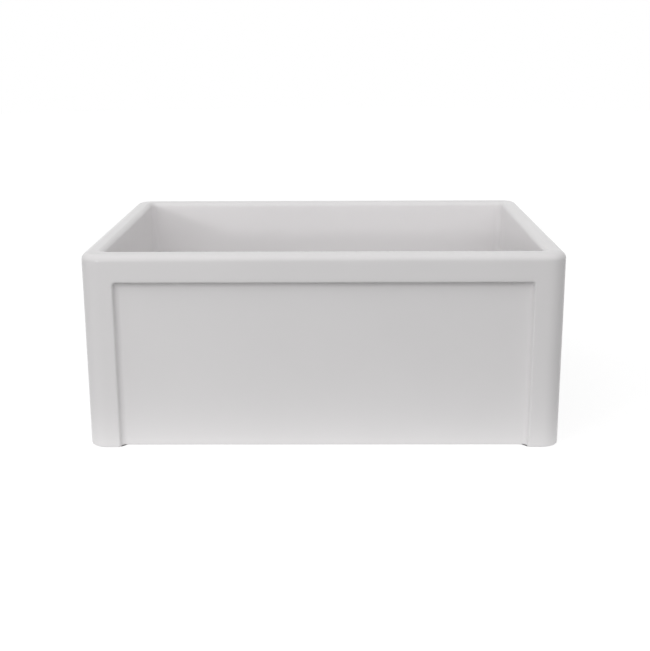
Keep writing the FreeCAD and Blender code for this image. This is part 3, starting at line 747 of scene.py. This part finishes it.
        inner = self.outline(self.wall + self.cove, self.basin_corner - self.cove)
        angles = np.arctan2(inner[:, 1], inner[:, 0])
        under = self.outline(self.foot_band, self.recess_corner)
        for out, up in quarter_round(self.hole_round, 5)[:-1]:
            lay(polar(self.hole + out, angles), self.recess + up, unglazed=True)
        mouth = polar(self.hole + self.hole_round, angles)
        for share in np.linspace(0, 1, 13) ** 1.3:
            lay(mouth + (under - mouth) * share, self.recess, unglazed=True)
        for out, up in quarter_round(self.recess_round, 5):
            lay(self.outline(self.foot_band - out, self.recess_corner + out), up, unglazed=True)
        recess_edge = self.foot_band - self.recess_round, self.recess_corner + self.recess_round
        foot_edge = self.foot_round, self.outer_corner - self.foot_round
        for share in np.linspace(0, 1, 7)[1:]:
            lay(self.outline(*between(recess_edge, foot_edge, share)), 0.0, share, True)
        for up, inset in quarter_round(self.foot_round, 5)[1:]:
            lay(self.outline(inset, self.outer_corner - inset), up, 1.0)
        steps = (self.height - self.rail_face - self.step_stations())[::-1]
        upward = np.concatenate([
            np.linspace(self.foot_round, steps[0], 42)[1:-1], steps,
            np.linspace(steps[-1], self.height - self.rim_outer_round, 8)[1:]])
        for height in upward:
            lay(self.outline(0.0, self.outer_corner), height, 1.0)
        for inset, down in quarter_round(self.rim_outer_round, 10)[1:]:
            lay(self.outline(inset, self.outer_corner - inset), self.height - down)
        rim_edge = self.rim_outer_round, self.outer_corner - self.rim_outer_round
        lip_edge = self.wall - self.rim_inner_round, self.basin_corner + self.rim_inner_round
        for share in (0.1, 0.5, 0.9):
            lay(self.outline(*between(rim_edge, lip_edge, share)), self.height)
        for down, rest in quarter_round(self.rim_inner_round, 8):
            lay(self.outline(self.wall - rest, self.basin_corner + rest), self.height - down)
        floor_edge, top = self.floor_level(inner), self.height - self.rim_inner_round
        for share in np.linspace(0, 1, 30)[1:]:
            lay(self.outline(self.wall, self.basin_corner),
                top + (floor_edge + self.cove - top) * share)
        for out, up in quarter_round(self.cove, 12)[1:]:
            lay(self.outline(self.wall + out, self.basin_corner - out), floor_edge + up)
        ring = polar(self.level_ring, angles)
        for share in np.linspace(0, 1, 22)[1:]:
            plan = inner + (ring - inner) * share
            lay(plan, self.floor_level(plan))
        for down, out in quarter_round(self.seat_round, 5):
            lay(polar(self.seat + out, angles), self.drain_level - down)
        level, edge = self.seat_level, self.seat_edge
        for radius, height in ((self.seat, level + edge), (self.seat - edge, level),
                               (self.hole + 6, level), (self.hole + edge, level),
                               (self.hole, level - edge), (self.hole, level / 2)):
            lay(polar(radius, angles), height)
        return np.stack(rings), np.array(shares), np.array(bare)

    def surface(self) -> tuple[np.ndarray, np.ndarray]:
        """Sink the apron's panel into the rows and let the walls wave a little inwards.

        The sway is the sum of three waves, each with its own lengths in millimetres.

        Returns:
            Rings of the finished surface, and whether each row is bare of glaze.
        """
        rings, shares, bare = self.rows()
        c = self.columns
        x, y, z = np.moveaxis(rings, -1, 0)
        on_apron = c["cx"] * (self.half_width - self.outer_corner)
        sunk = self.step(self.inside_frame(on_apron, z)) * shares[:, None] * c["front"]
        slow = np.sin(x / 31.0 + 0.7) * np.sin(z / 27.0 + y / 53.0)
        crossing = np.sin(y / 23.0 + z / 39.0 + 1.9)
        quick = 0.6 * np.sin(x / 13.0 + z / 17.0 + y / 19.0)
        sway = (slow + crossing + quick) / 2.6
        sway = self.waviness * 0.5 * (1 + sway) * (shares >= 1)[:, None]
        rings = rings - np.stack([c["nx"] * sway, c["ny"] * sway - sunk, 0 * sway], axis=-1)
        return rings, bare

    def build(self) -> list[bpy.types.Object]:
        """Make the body as one closed surface, glazed above and bare on its underside."""
        self.lay_columns()
        rings, bare = self.surface()
        piece = add_piece("sink_glazed_body", outward(ring_surface(rings)), GLAZE, Body.SINK,
                          ("sink_body",), sharp=None)
        piece.data.materials.append(BISQUE.material())
        unglazed = np.repeat(bare & np.roll(bare, -1), rings.shape[1])
        piece.data.polygons.foreach_set("material_index", unglazed.astype(np.int32))
        return [piece]


# ---------------------------------------------------------------- the strainer and what clamps it
def lugged_outline(inner: float, outer: float, width: float, count: int, soft: float) -> np.ndarray:
    """A circle with square lugs standing out of it.

    One sector is drawn by its corners, from the middle of a lug round to the middle of the next
    gap and mirrored; the sectors then follow each other round the axis.

    Args:
        inner: radius of the circle.
        outer: reach of the lugs.
        width: width of each lug.
        count: number of lugs.
        soft: radius of the lugs' edges.

    Returns:
        (n, 2) points, the same number for any sizes with the same count.
    """
    half = width / 2
    end = (outer - soft, half - soft) + polar(soft, np.linspace(0, QUARTER, 4))
    foot = [[math.sqrt(inner ** 2 - half ** 2) + soft, half]]
    arc = polar(inner, np.linspace(math.asin(half / inner) + 0.01, math.pi / count, 9))
    upper = np.vstack([[[outer, 0.0]], end, foot, arc])
    sector = np.vstack([upper[1:-1][::-1] * (1, -1), upper])
    return spun(sector, evenly(count)[:, None]).reshape(-1, 2)


@dataclass
class ClampedStrainer:
    """The strainer's body in the floor and the rings and nuts that hold it there."""
    cup_bore: float = 41.4
    thread: float = 43.4
    cup_floor: float = -25.0
    cup_under: float = -27.0
    cup_cove: float = 7.0
    cup_heel: float = 9.0
    flange: float = 57.15
    flange_under: float = 19.5
    flange_top: float = 20.7
    throat: float = 18.5
    spud: float = 23.6
    spud_end: float = -44.0
    cross_top: float = -27.5
    cross_under: float = -30.0
    cross_arm: float = 3.2
    cross_hub: float = 9.0
    cross_hole: float = 5.4
    hole: float = 45.0
    seat_level: float = 18.5
    gasket_bore: float = 43.8
    gasket_radius: float = 56.0
    gasket_top: float = 3.0
    gasket_under: float = -1.0
    nut_bore: float = 43.7
    nut_skirt: float = 50.5
    nut_plate: float = 55.5
    nut_lug: float = 57.8
    nut_top: float = -1.8
    nut_under: float = -11.3
    slip_bore: float = 23.9
    slip_radius: float = 28.0
    slip_rib: float = 31.0
    slip_eye: float = 19.4
    slip_top: float = -29.5
    slip_under: float = -48.5
    washer_under: float = -46.0
    putty_radius: float = 56.35
    pitch: float = 2.2
    cup_thread_end: float = 8.0
    cup_cut: float = 0.95
    spud_cut: float = 0.8
    nut_cut: float = 0.5

    def shell(self) -> Sheet:
        """The flange, cup and outlet: one profile turned, with two helical threads outside."""
        top, under, floor = self.flange_top, self.flange_under, self.cup_floor
        outside = softened([
            (self.flange, under, 0.25), (self.flange, top, 0.55), (self.cup_bore, top, 2.4),
            (self.cup_bore, floor, self.cup_cove), (self.throat, floor, 1.2),
            (self.throat, self.cross_under - 2, 0), (self.throat, self.spud_end, 0.4),
            (self.spud, self.spud_end, 0.6), (self.spud, self.cup_under, 0)], closed=False)
        heel_start, heel_end = self.cup_under, self.cup_under + self.cup_heel
        heel = softened([(self.spud, heel_start, 0), (self.thread, heel_start, self.cup_heel),
                         (self.thread, heel_end, 0)], closed=False, steps=8)
        low = heel_end + 0.3
        spud_heights = np.linspace(self.spud_end + 1, heel_start - 0.4, 70)
        profile = np.vstack([
            outside[:-1], upright(self.spud, spud_heights), heel,
            upright(self.thread, np.linspace(low, under - 0.6, 150)), [[self.thread, under]]])
        rings = turned(profile, 128)
        for radius, cut, start, end in (
                (self.thread, self.cup_cut, low, self.cup_thread_end),
                (self.spud, self.spud_cut, self.spud_end, self.cup_under - 1.5)):
            rings = threaded(rings, self.pitch, -cut, start, end, np.isclose(profile[:, 0], radius))
        return outward(ring_surface(rings))

    def cross(self) -> Sheet:
        """The hub and four arms: a level plate between its hole and a cross-shaped outline."""
        reach, half, soft, edge = self.throat + 0.6, self.cross_arm / 2, 1.1, 0.3
        meet = math.sqrt(self.cross_hub ** 2 - half ** 2)
        corner = math.asin(half / self.cross_hub) + 0.1
        quarter = np.vstack([
            [[reach, 0.0], [reach, half], [meet + soft, half]],
            polar(self.cross_hub, np.linspace(corner, QUARTER - corner, 7)),
            [[half, meet + soft], [half, reach]]])
        outline = by_length(spun(quarter, evenly(4)[:, None]).reshape(-1, 2), 1.2)
        rim = polar(1.0, np.arctan2(outline[:, 1], outline[:, 0]))
        hole, top, under = self.cross_hole * rim, self.cross_top, self.cross_under
        face = [hole + edge * rim, hole + (outline - hole) * 0.5, outline - edge * rim]
        plans = [hole, *face, outline, outline, *face[::-1], hole]
        heights = np.array([top - edge, *[top] * 3, top - edge, under + edge, *[under] * 3,
                            under + edge])
        return outward(ring_surface(stacked(plans, heights)))

    def lugged_nut(self, bore: float, plans: list[tuple[np.ndarray, float]], eye: float,
                   ledge: float) -> Sheet:
        """A nut: lugged outlines outside, a threaded bore inside.

        Args:
            bore: radius of the threaded bore.
            plans: outside outlines with their heights, from the top down.
            eye: radius of the hole in the bottom.
            ledge: height of the inside face round the eye.

        Returns:
            The nut's closed surface.
        """
        (first, top), (_, bottom) = plans[0], plans[-1]
        rim = polar(1.0, np.arctan2(first[:, 1], first[:, 0]))
        inside = [(eye + 0.5, bottom), (eye, bottom + 0.5), (eye, ledge)]
        inside += [(bore, height) for height in np.linspace(ledge + 0.2, top - 0.6, 48)]
        rows = [*plans, *((radius * rim, height) for radius, height in inside),
                ((bore + 0.6) * rim, top)]
        rings = stacked([plan for plan, _ in rows], np.array([height for _, height in rows]))
        chosen = np.zeros(len(rows))
        chosen[len(plans) + 3:-1] = 1
        return outward(ring_surface(
            threaded(rings, self.pitch, self.nut_cut, ledge + 0.5, top, chosen)))

    def locknut(self) -> Sheet:
        """The wide nut: a pressure plate over a skirt, with six lugs down its side."""
        plate, skirt, top, under = self.nut_plate, self.nut_skirt, self.nut_top, self.nut_under
        step = top - 3.0
        levels = ((plate, 0.6, top), (plate, 0.0, top - 0.6), (plate, 0.0, step + 0.3),
                  (plate, 0.3, step), (skirt + 0.4, 0.0, step), (skirt, 0.0, step - 0.4),
                  (skirt, 0.0, under + 0.8), (skirt, 0.8, under))
        plans = [(lugged_outline(radius - shrink, self.nut_lug - shrink, 8.0 - 2 * shrink, 6, 0.8),
                  height) for radius, shrink, height in levels]
        return self.lugged_nut(self.nut_bore, plans, self.nut_bore, under + 1.0)

    def slip_nut(self) -> Sheet:
        """The nut on the outlet: eight grip ribs outside, an inward flange round its eye."""
        radius, top, under = self.slip_radius, self.slip_top, self.slip_under
        levels = ((0.4, top - 1.2), (0.0, top - 1.8), (0.0, under + 1.8), (0.4, under + 1.2))
        ribbed = [(lugged_outline(radius - shrink, self.slip_rib - shrink, 5.0, 8, 0.8), height)
                  for shrink, height in levels]
        rim = ribbed[1][0] / np.linalg.norm(ribbed[1][0], axis=1, keepdims=True)
        end = ((radius - 0.8, 0.0), (radius - 0.25, 0.25), (radius, 0.8))
        plans = [(reach * rim, top - drop) for reach, drop in end] + ribbed
        plans += [(reach * rim, under + drop) for reach, drop in reversed(end)]
        return self.lugged_nut(self.slip_bore, plans, self.slip_eye, self.washer_under)

    def ring(self, inner: float, outer: float, low: float, high: float, soft: float,
             squeeze: float = 0.0) -> Sheet:
        """A flat ring with softened edges; squeeze lets its outer edge wander inwards."""
        rings = turned(softened([(inner, low, soft), (outer, low, soft), (outer, high, soft),
                                 (inner, high, soft)]), 144)
        x, y, z = np.moveaxis(rings, -1, 0)
        angle = np.arctan2(y, x)
        wander = 0.5 + 0.2 * (np.sin(7 * angle) + np.sin(11 * angle + 1) + 0.5 * np.sin(23 * angle))
        scale = 1 - squeeze * wander * (np.hypot(x, y) - inner) / (outer - inner) / outer
        return outward(ring_surface(np.stack([x * scale, y * scale, z], axis=-1)))

    def build(self) -> list[bpy.types.Object]:
        """Make every piece that is clamped in the drain hole, from the top down."""
        gasket = self.gasket_bore, self.gasket_radius
        made = [
            ("strainer_shell", self.shell(), STRAINER_STEEL, "strainer_steel", ("strainer_body",)),
            ("outlet_cross", self.cross(), STRAINER_STEEL, "strainer_steel", ()),
            ("putty_bed", self.ring(self.hole, self.putty_radius, self.seat_level,
                                    self.flange_under, 0.35, 0.5), PUTTY, "putty", ("putty_ring",)),
            ("floor_gasket", self.ring(*gasket, self.gasket_under, self.gasket_top, 0.5), RUBBER,
             "black_rubber", ("rubber_gasket",)),
            ("paper_washer", self.ring(*gasket, self.nut_top, self.gasket_under, 0.1), PAPER,
             "friction_paper", ("friction_washer",)),
            ("lugged_locknut", self.locknut(), ZINC, "cast_zinc", ("locknut",)),
            ("tail_washer", self.ring(self.throat, self.spud, self.washer_under, self.spud_end,
                                      0.4), PLASTIC, "washer_plastic", ("tailpiece_washer",)),
            ("slip_nut", self.slip_nut(), BRASS, "coupling_metal", ("coupling_nut",))]
        return [add_piece(name, sheet, finish, Body.SINK, nodes)
                for name, sheet, finish, slot, nodes in made]


# ---------------------------------------------------------------- the basket
@dataclass
class LiftOutBasket:
    """The perforated basket with its stopper, post, knob and spring clip."""
    sheet: float = 0.9
    floor: float = -21.65
    floor_radius: float = 26.55
    rim: float = 9.9
    rim_radius: float = 37.55
    bend: float = 4.55
    bead: float = 1.3
    eye: float = 1.6
    slots: int = 20
    slot_width: float = 2.4
    slot_low: float = -13.1
    slot_high: float = 0.9
    hole: float = 1.7
    around: int = 280
    seal_radius: float = 30.0
    seal_under: float = -24.7
    seal_top: float = -22.1
    plate_radius: float = 15.0
    plate_under: float = -25.9
    clip_under: float = -26.4
    knob_under: float = 6.0
    plain_floor: float = 7.5
    inner_holes: float = 14.5
    outer_holes: float = 21.5
    post_end: float = -27.3
    peen: float = 2.5
    stud: float = 1.5
    collar: float = 5.0
    collar_height: float = 2.2
    shaft: float = 2.6
    pin: float = 1.6
    pin_length: float = 5.0
    neck: float = 5.2
    brim: float = 10.0
    crown_round: float = 4.2
    flare_height: float = 6.5
    clip_path: tuple[Corner, ...] = ((0.0, -26.15, 0), (3.25, -26.15, 0.7), (3.85, -31.5, 1.2),
                                     (2.15, -36.25, 0))
    clip_half_sheet: float = 0.25
    clip_half_width: float = 2.5

    def wall_radius(self, height: np.ndarray) -> np.ndarray:
        """Radius of the basket's slanting wall at a height."""
        return self.floor_radius + (height - self.floor) * (self.rim_radius - self.floor_radius) / (
            self.rim - self.floor)

    def plain_band(self, profile: np.ndarray, phase: float) -> Sheet:
        """A band without holes, turned from its profile."""
        return ring_surface(turned(profile, self.around, phase), Ends.OPEN)

    def slotted_band(self, low: float, high: float, phase: float) -> Sheet:
        """The slotted part of the wall: cells in (angle, height), each with one upright slot.

        A cell's flat place (s, z) becomes the angle s over the middle radius, and the radius of
        the wall at z.

        Args:
            low: lower edge of the band.
            high: upper edge of the band.
            phase: angle of the first cell's left edge.

        Returns:
            The band as one surface.
        """
        middle = float(self.wall_radius(np.array((low + high) / 2)))
        half = middle * TURN / self.slots / 2
        edge = frame_of_cell(np.array((-half, low)), np.array((half, high)),
                             self.around // self.slots, 14)
        flat = pierced(np.array((0.0, self.slot_low)), np.array((0.0, self.slot_high)),
                       self.slot_width / 2, edge, 4)[::-1]
        s, z = flat[..., 0], flat[..., 1]
        return joined([
            ring_surface(polar(self.wall_radius(z), start + (half + s) / middle, z), Ends.OPEN)
            for start in phase + evenly(self.slots)])

    def holed_band(self, inner: float, outer: float, count: int, phase: float) -> Sheet:
        """A ring of the floor with round holes: cells in (angle, radius), one hole in each.

        Args:
            inner: inner radius of the ring.
            outer: outer radius of the ring.
            count: number of holes.
            phase: angle of the first cell's edge.

        Returns:
            The band as one surface.
        """
        half = TURN / count / 2
        corner = frame_of_cell(np.array((-half, inner)), np.array((half, outer)),
                               self.around // count, 6)
        centre = np.array(((inner + outer) / 2, 0.0))
        flat = pierced(centre, centre, self.hole, polar(corner[:, 1], corner[:, 0]), 4)[::-1]
        level = np.full((*flat.shape[:2], 1), self.floor)
        return joined([
            ring_surface(np.concatenate([spun(flat, start + half), level], axis=-1), Ends.OPEN)
            for start in phase + evenly(count)])

    def cup(self) -> Sheet:
        """The whole sheet of the basket, from its eye over the floor and up to the rim."""
        column, phase, floor = TURN / self.around, math.radians(-99.0), self.floor
        low, high = self.slot_low - 2.7, self.slot_high + 2.7
        bend = softened([(self.outer_holes, floor, 0), (self.floor_radius, floor, self.bend),
                         (float(self.wall_radius(np.array(low))), low, 0)], closed=False, steps=8)
        upper = np.linspace(high, self.rim, 6)
        middle = np.linspace(self.eye, self.plain_floor, 5)
        return joined([
            self.plain_band(np.column_stack([middle, np.full(5, floor)]), phase),
            self.holed_band(self.plain_floor, self.inner_holes, 8, phase + 59 * column),
            self.holed_band(self.inner_holes, self.outer_holes, 14, phase + 67 * column),
            self.plain_band(bend, phase),
            self.slotted_band(low, high, phase),
            self.plain_band(np.column_stack([self.wall_radius(upper), upper]), phase)])

    def pierced_cup(self) -> bpy.types.Object:
        """Give the basket's sheet its thickness and keep the edges of its holes crisp."""
        piece = add_piece("perforated_cup", self.cup(), BASKET_STEEL, Body.BASKET,
                          ("basket_cup",), sharp=None)
        wall = piece.modifiers.new("sheet", "SOLIDIFY")
        wall.thickness, wall.offset, wall.use_even_offset = self.sheet * MM, 0.0, True
        evaluated = bpy.context.evaluated_depsgraph_get()
        thick = bpy.data.meshes.new_from_object(piece.evaluated_get(evaluated))
        piece.modifiers.clear()
        thick.name = "perforated_cup"
        thick.set_sharp_from_angle(angle=math.radians(40))
        piece.data = thick
        return piece

    def stopper(self) -> Sheet:
        """The rubber disc: thick in the middle, thin at its lip, with a raised bead near it."""
        low, high, lip = self.seal_under, self.seal_top, self.seal_radius
        return lathe(softened([
            (self.eye, low, 0.1), (lip, low, 0.45), (lip, low + 1.0, 0.45),
            (lip - 4, low + 1.75, 3.0), (lip - 8, high, 2.0), (self.eye, high, 0.1)]), 144)

    def post(self) -> Sheet:
        """The turned post: peened end, stud, chamfered collar, shaft and pin."""
        end, clip, knob = self.post_end, self.clip_under, self.knob_under
        seat = self.floor + self.sheet / 2
        peen, stud, collar, shaft, pin = self.peen, self.stud, self.collar, self.shaft, self.pin
        top, tip = seat + self.collar_height, knob + self.pin_length
        profile = softened([
            (0, end, 0), (peen - 0.6, end, 0.5), (peen, end + 0.6, 0.3), (peen, clip, 0),
            (stud, clip, 0), (stud, seat, 0), (collar, seat, 0.15), (collar, top - 0.7, 0.35),
            (collar - 0.6, top, 0.3), (shaft, top, 0.3), (shaft, knob, 0), (pin, knob, 0),
            (pin, tip, 0.3), (0, tip, 0)], closed=False)
        profile[:, 0] = np.maximum(profile[:, 0], 0.02)
        return lathe(profile, 96, Ends.CAPPED)

    def knob(self) -> Sheet:
        """The knob: a waisted neck that flares to its brim under a low crown."""
        low, brim, bore = self.knob_under, self.brim, self.pin + 0.05
        share = np.linspace(0, 1, 12)
        flare = np.column_stack([self.neck + (brim - self.neck) * share ** 1.15,
                                 low + self.flare_height * (0.06 + 0.94 * share ** 1.05)])
        crown = (brim - self.crown_round, low + 6.8) + polar(self.crown_round,
                                                             np.linspace(0, QUARTER, 12))
        dish = [[4.0, low + 11.0], [2.2, low + 10.95], [0.02, low + 10.9]]
        end = low + self.pin_length + 0.05
        return lathe(np.vstack([[[bore, low], [self.neck - 0.3, low]], flare, crown, dish,
                                [[0.02, end], [bore, end]]]), 96)

    def clip(self) -> Sheet:
        """The spring strip: a flat section carried along the path of its bends.

        At each point of the path the section lies across the path's normal, and the strip's
        width runs along Y.

        Returns:
            The strip's closed surface.
        """
        leg = softened(list(self.clip_path), closed=False)
        path = np.vstack([leg[::-1] * (-1, 1), leg[1:]])
        along = np.gradient(path, axis=0)
        along /= np.linalg.norm(along, axis=1, keepdims=True)
        thin, wide = self.clip_half_sheet, self.clip_half_width
        section = softened([(-thin, -wide, 0.12), (thin, -wide, 0.12), (thin, wide, 0.12),
                            (-thin, wide, 0.12)], steps=3)
        x = path[:, :1] - along[:, 1:] * section[:, 0]
        z = path[:, 1:] + along[:, :1] * section[:, 0]
        y = np.broadcast_to(section[:, 1], x.shape)
        return outward(ring_surface(np.stack([x, y, z], axis=-1), Ends.CAPPED))

    def build(self) -> list[bpy.types.Object]:
        """Make the basket and all that lifts out with it."""
        bead = (self.rim_radius, self.rim) + polar(self.bead, evenly(20))
        eye, edge, low, high = self.eye, self.plate_radius, self.plate_under, self.seal_under
        plate = softened([(eye, low, 0.1), (edge, low, 0.4), (edge, high, 0.2), (eye, high, 0.1)])
        made = [
            ("rolled_rim", lathe(bead, 200), BASKET_STEEL, "basket_steel", ()),
            ("rubber_stopper", self.stopper(), RUBBER, "black_rubber", ("stopper_seal",)),
            ("stopper_plate", lathe(plate, 96), BASKET_STEEL, "basket_steel", ("seal_plate",)),
            ("turned_post", self.post(), POST_STEEL, "post_steel", ("centre_post",)),
            ("pull_knob", self.knob(), POST_STEEL, "post_steel", ("lift_knob",)),
            ("spring_clip", self.clip(), SPRING_STEEL, "spring_steel", ("detent_clip",))]
        return [self.pierced_cup()] + [
            add_piece(name, sheet, finish, Body.BASKET, nodes)
            for name, sheet, finish, slot, nodes in made]


# ---------------------------------------------------------------- the studio
def bearing(azimuth: float, elevation: float) -> Vector:
    """Direction of two angles; azimuth 0 is in front of the apron and positive is to its right."""
    turn, lift = math.radians(azimuth), math.radians(elevation)
    return Vector((math.sin(turn) * math.cos(lift), -math.cos(turn) * math.cos(lift),
                   math.sin(lift)))


@dataclass(frozen=True)
class Softbox:
    """A soft rectangular lamp that looks at the sink from an azimuth and an elevation."""
    name: str
    azimuth: float
    elevation: float
    distance: float
    width: float
    height: float
    power: float
    aim: tuple[float, float, float]

    def build(self) -> bpy.types.Object:
        """Hang the lamp at its distance from what it is aimed at."""
        data = bpy.data.lights.new(self.name, "AREA")
        data.shape, data.energy = "RECTANGLE", self.power
        data.size, data.size_y = self.width, self.height
        lamp = hang(self.name, data)
        away = bearing(self.azimuth, self.elevation)
        lamp.location = Vector(self.aim) + away * self.distance
        lamp.rotation_euler = away.to_track_quat("Z", "Y").to_euler()
        lamp.visible_camera = False
        return lamp


@dataclass(frozen=True)
class Glow:
    """A soft bright patch of the surroundings.

    Its light from a direction d is strength * max(d . c, 0) ** sharpness, where c is its middle.
    """
    azimuth: float
    elevation: float
    strength: float
    sharpness: float


@dataclass
class Studio:
    """A white floor, white surroundings, soft light and the camera."""
    even: float = 0.15
    below: float = 0.55
    glows: tuple[Glow, ...] = (
        Glow(0.0, 12.0, 0.61, 4.0),
        Glow(0.0, 35.0, 0.62, 4.0),
        Glow(-70.0, 35.0, 0.84, 4.0),
        Glow(70.0, 35.0, 0.43, 4.0),
        Glow(180.0, 45.0, 0.31, 4.0),
        Glow(180.0, 4.0, 0.45, 6.0),
    )
    floor_white: float = 0.76
    floor_near: float = 0.52
    floor_far: float = 0.05
    near_reach: float = 0.12
    footprint: tuple[float, float] = (0.3048, 0.2286)
    opening: float = 0.085
    reach: float = 6.0
    floor_height: float = -0.0004
    floor_grey: float = 0.4
    place: tuple[float, float, float] = (0.0179, -1.6177, 0.5276)
    pitch: float = 0.2566
    yaw: float = -0.0114
    roll: float = -0.0046
    focal_pixels: float = 1142.5
    long_side: float = 651.0
    sensor: float = 36.0
    lamps: tuple[Softbox, ...] = (
        Softbox("key_softbox", -25.0, 6.0, 1.6, 0.12, 0.06, 2.5, (0.0, 0.0, 0.24)),
    )

    def surroundings(self) -> None:
        """White all round for the camera and for reflections, and soft light for the sink.

        From above the horizon the light is an even share and the glows, from below it is even.
        """
        world = bpy.data.worlds.new("white_tent")
        bpy.context.scene.world = world
        nodes = Nodes(world)
        background = nodes.tree.nodes["Background"]
        nodes.feed(background.inputs["Color"], (1, 1, 1, 1))
        direction = nodes.node("TexCoord").outputs["Generated"]
        up = nodes.node("SeparateXYZ", {0: direction}).outputs[2]
        above = self.even
        for glow in self.glows:
            middle = bearing(glow.azimuth, glow.elevation)
            towards = nodes.node("VectorMath", {0: direction, 1: middle}, operation="DOT_PRODUCT")
            near = nodes.combine("MAXIMUM", towards.outputs["Value"])
            light = nodes.combine("MULTIPLY", nodes.combine("POWER", near, glow.sharpness),
                                  glow.strength)
            above = nodes.combine("ADD", above, light)
        tent = nodes.node("Mix", {"Factor": nodes.combine("GREATER_THAN", up), "A": self.below,
                                  "B": above})
        white = nodes.node("Mix", {"Factor": self.seen(nodes), "A": tent.outputs["Result"],
                                   "B": 1.0})
        nodes.feed(background.inputs["Strength"], white.outputs["Result"])

    def seen(self, nodes: Nodes) -> Socket:
        """1 for rays of the camera, of reflections and of clear materials, otherwise 0."""
        path = nodes.node("LightPath").outputs
        glossy = nodes.combine("MAXIMUM", path["Is Camera Ray"], path["Is Glossy Ray"])
        return nodes.combine("MAXIMUM", glossy, path["Is Transmission Ray"])

    def floor_material(self) -> bpy.types.Material:
        """A white floor that keeps a soft shadow and throws some light up, most near the sink.

        From below it is clear, so that the underside can be looked at, and under the sink it
        lets the tent's light through to the underside.
        """
        material = bpy.data.materials.new("pale_floor")
        nodes = Nodes(material)
        nodes.tree.nodes.remove(nodes.tree.nodes["Principled BSDF"])
        place = nodes.node("SeparateXYZ", {0: nodes.node("TexCoord").outputs["Object"]})
        across, along = (nodes.combine("SUBTRACT", nodes.combine("ABSOLUTE", part), half)
                         for part, half in zip(place.outputs[:2], self.footprint))
        away, seen = nodes.combine("MAXIMUM", across, along), self.seen(nodes)
        fall = nodes.node("MapRange", {"Value": away, "From Max": self.near_reach,
                                       "To Min": self.floor_near, "To Max": self.floor_far},
                          interpolation_type="SMOOTHSTEP")
        grey = nodes.node("BsdfDiffuse", {"Color": (*[self.floor_grey] * 3, 1)})
        glow = nodes.node("Emission", {"Strength": self.floor_white})
        bounce = nodes.node("Emission", {"Strength": fall.outputs["Result"]})
        white = nodes.node("AddShader", {0: grey.outputs[0], 1: glow.outputs[0]})
        clear = nodes.node("BsdfTransparent")
        beside = nodes.combine("MAXIMUM", nodes.combine("GREATER_THAN", away), seen)
        shows = nodes.combine("SUBTRACT", beside,
                              nodes.node("NewGeometry").outputs["Backfacing"], clamp=True)
        lit = nodes.node("MixShader", {0: seen, 1: bounce.outputs[0], 2: white.outputs[0]})
        whole = nodes.node("MixShader", {0: shows, 1: clear.outputs[0], 2: lit.outputs[0]})
        nodes.feed(nodes.tree.nodes["Material Output"].inputs["Surface"], whole.outputs[0])
        return material

    def floor(self) -> bpy.types.Object:
        """The level floor, open under the drain, where the strainer hangs through it."""
        radii = np.array([self.opening, 0.5, self.reach])[:, None]
        vertices, quads, _ = ring_surface(polar(radii, evenly(96), self.floor_height), Ends.OPEN)
        mesh = bpy.data.meshes.new("studio_floor")
        mesh.from_pydata(vertices.tolist(), [], quads.tolist())
        if mesh.polygons[0].normal.z < 0:
            mesh.flip_normals()
        mesh.materials.append(self.floor_material())
        floor = hang("studio_floor", mesh)
        return floor

    def camera(self) -> bpy.types.Object:
        """The camera: looking direction from yaw and pitch, turned by the roll."""
        forward = Vector((math.sin(self.yaw) * math.cos(self.pitch),
                          math.cos(self.yaw) * math.cos(self.pitch), -math.sin(self.pitch)))
        level = Vector((math.cos(self.yaw), -math.sin(self.yaw), 0.0))
        upward = level.cross(forward)
        right = math.cos(self.roll) * level + math.sin(self.roll) * upward
        up = -math.sin(self.roll) * level + math.cos(self.roll) * upward
        data = bpy.data.cameras.new("camera")
        data.sensor_width = self.sensor
        data.lens = self.focal_pixels * self.sensor / self.long_side
        camera = hang("camera", data)
        turn = Matrix((right, up, -forward)).transposed().to_4x4()
        camera.matrix_world = Matrix.Translation(self.place) @ turn
        bpy.context.scene.camera = camera
        return camera

    def build(self) -> None:
        """Set the studio up round the sink."""
        bpy.context.scene.view_settings.view_transform = "Standard"
        self.camera()
        self.surroundings()
        self.floor()
        for lamp in self.lamps:
            lamp.build()


def main() -> None:
    """Build the studio and the sink, and log how many pieces each assembly made."""
    logging.basicConfig(level=logging.INFO, format="%(message)s")
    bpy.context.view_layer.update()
    Studio().build()
    for assembly in (FireclayBody(), ClampedStrainer(), LiftOutBasket()):
        made = assembly.build()
        log.info("%s done: %d piece(s)", type(assembly).__name__, len(made))
    bpy.context.view_layer.update()


if __name__ == "__main__":
    main()
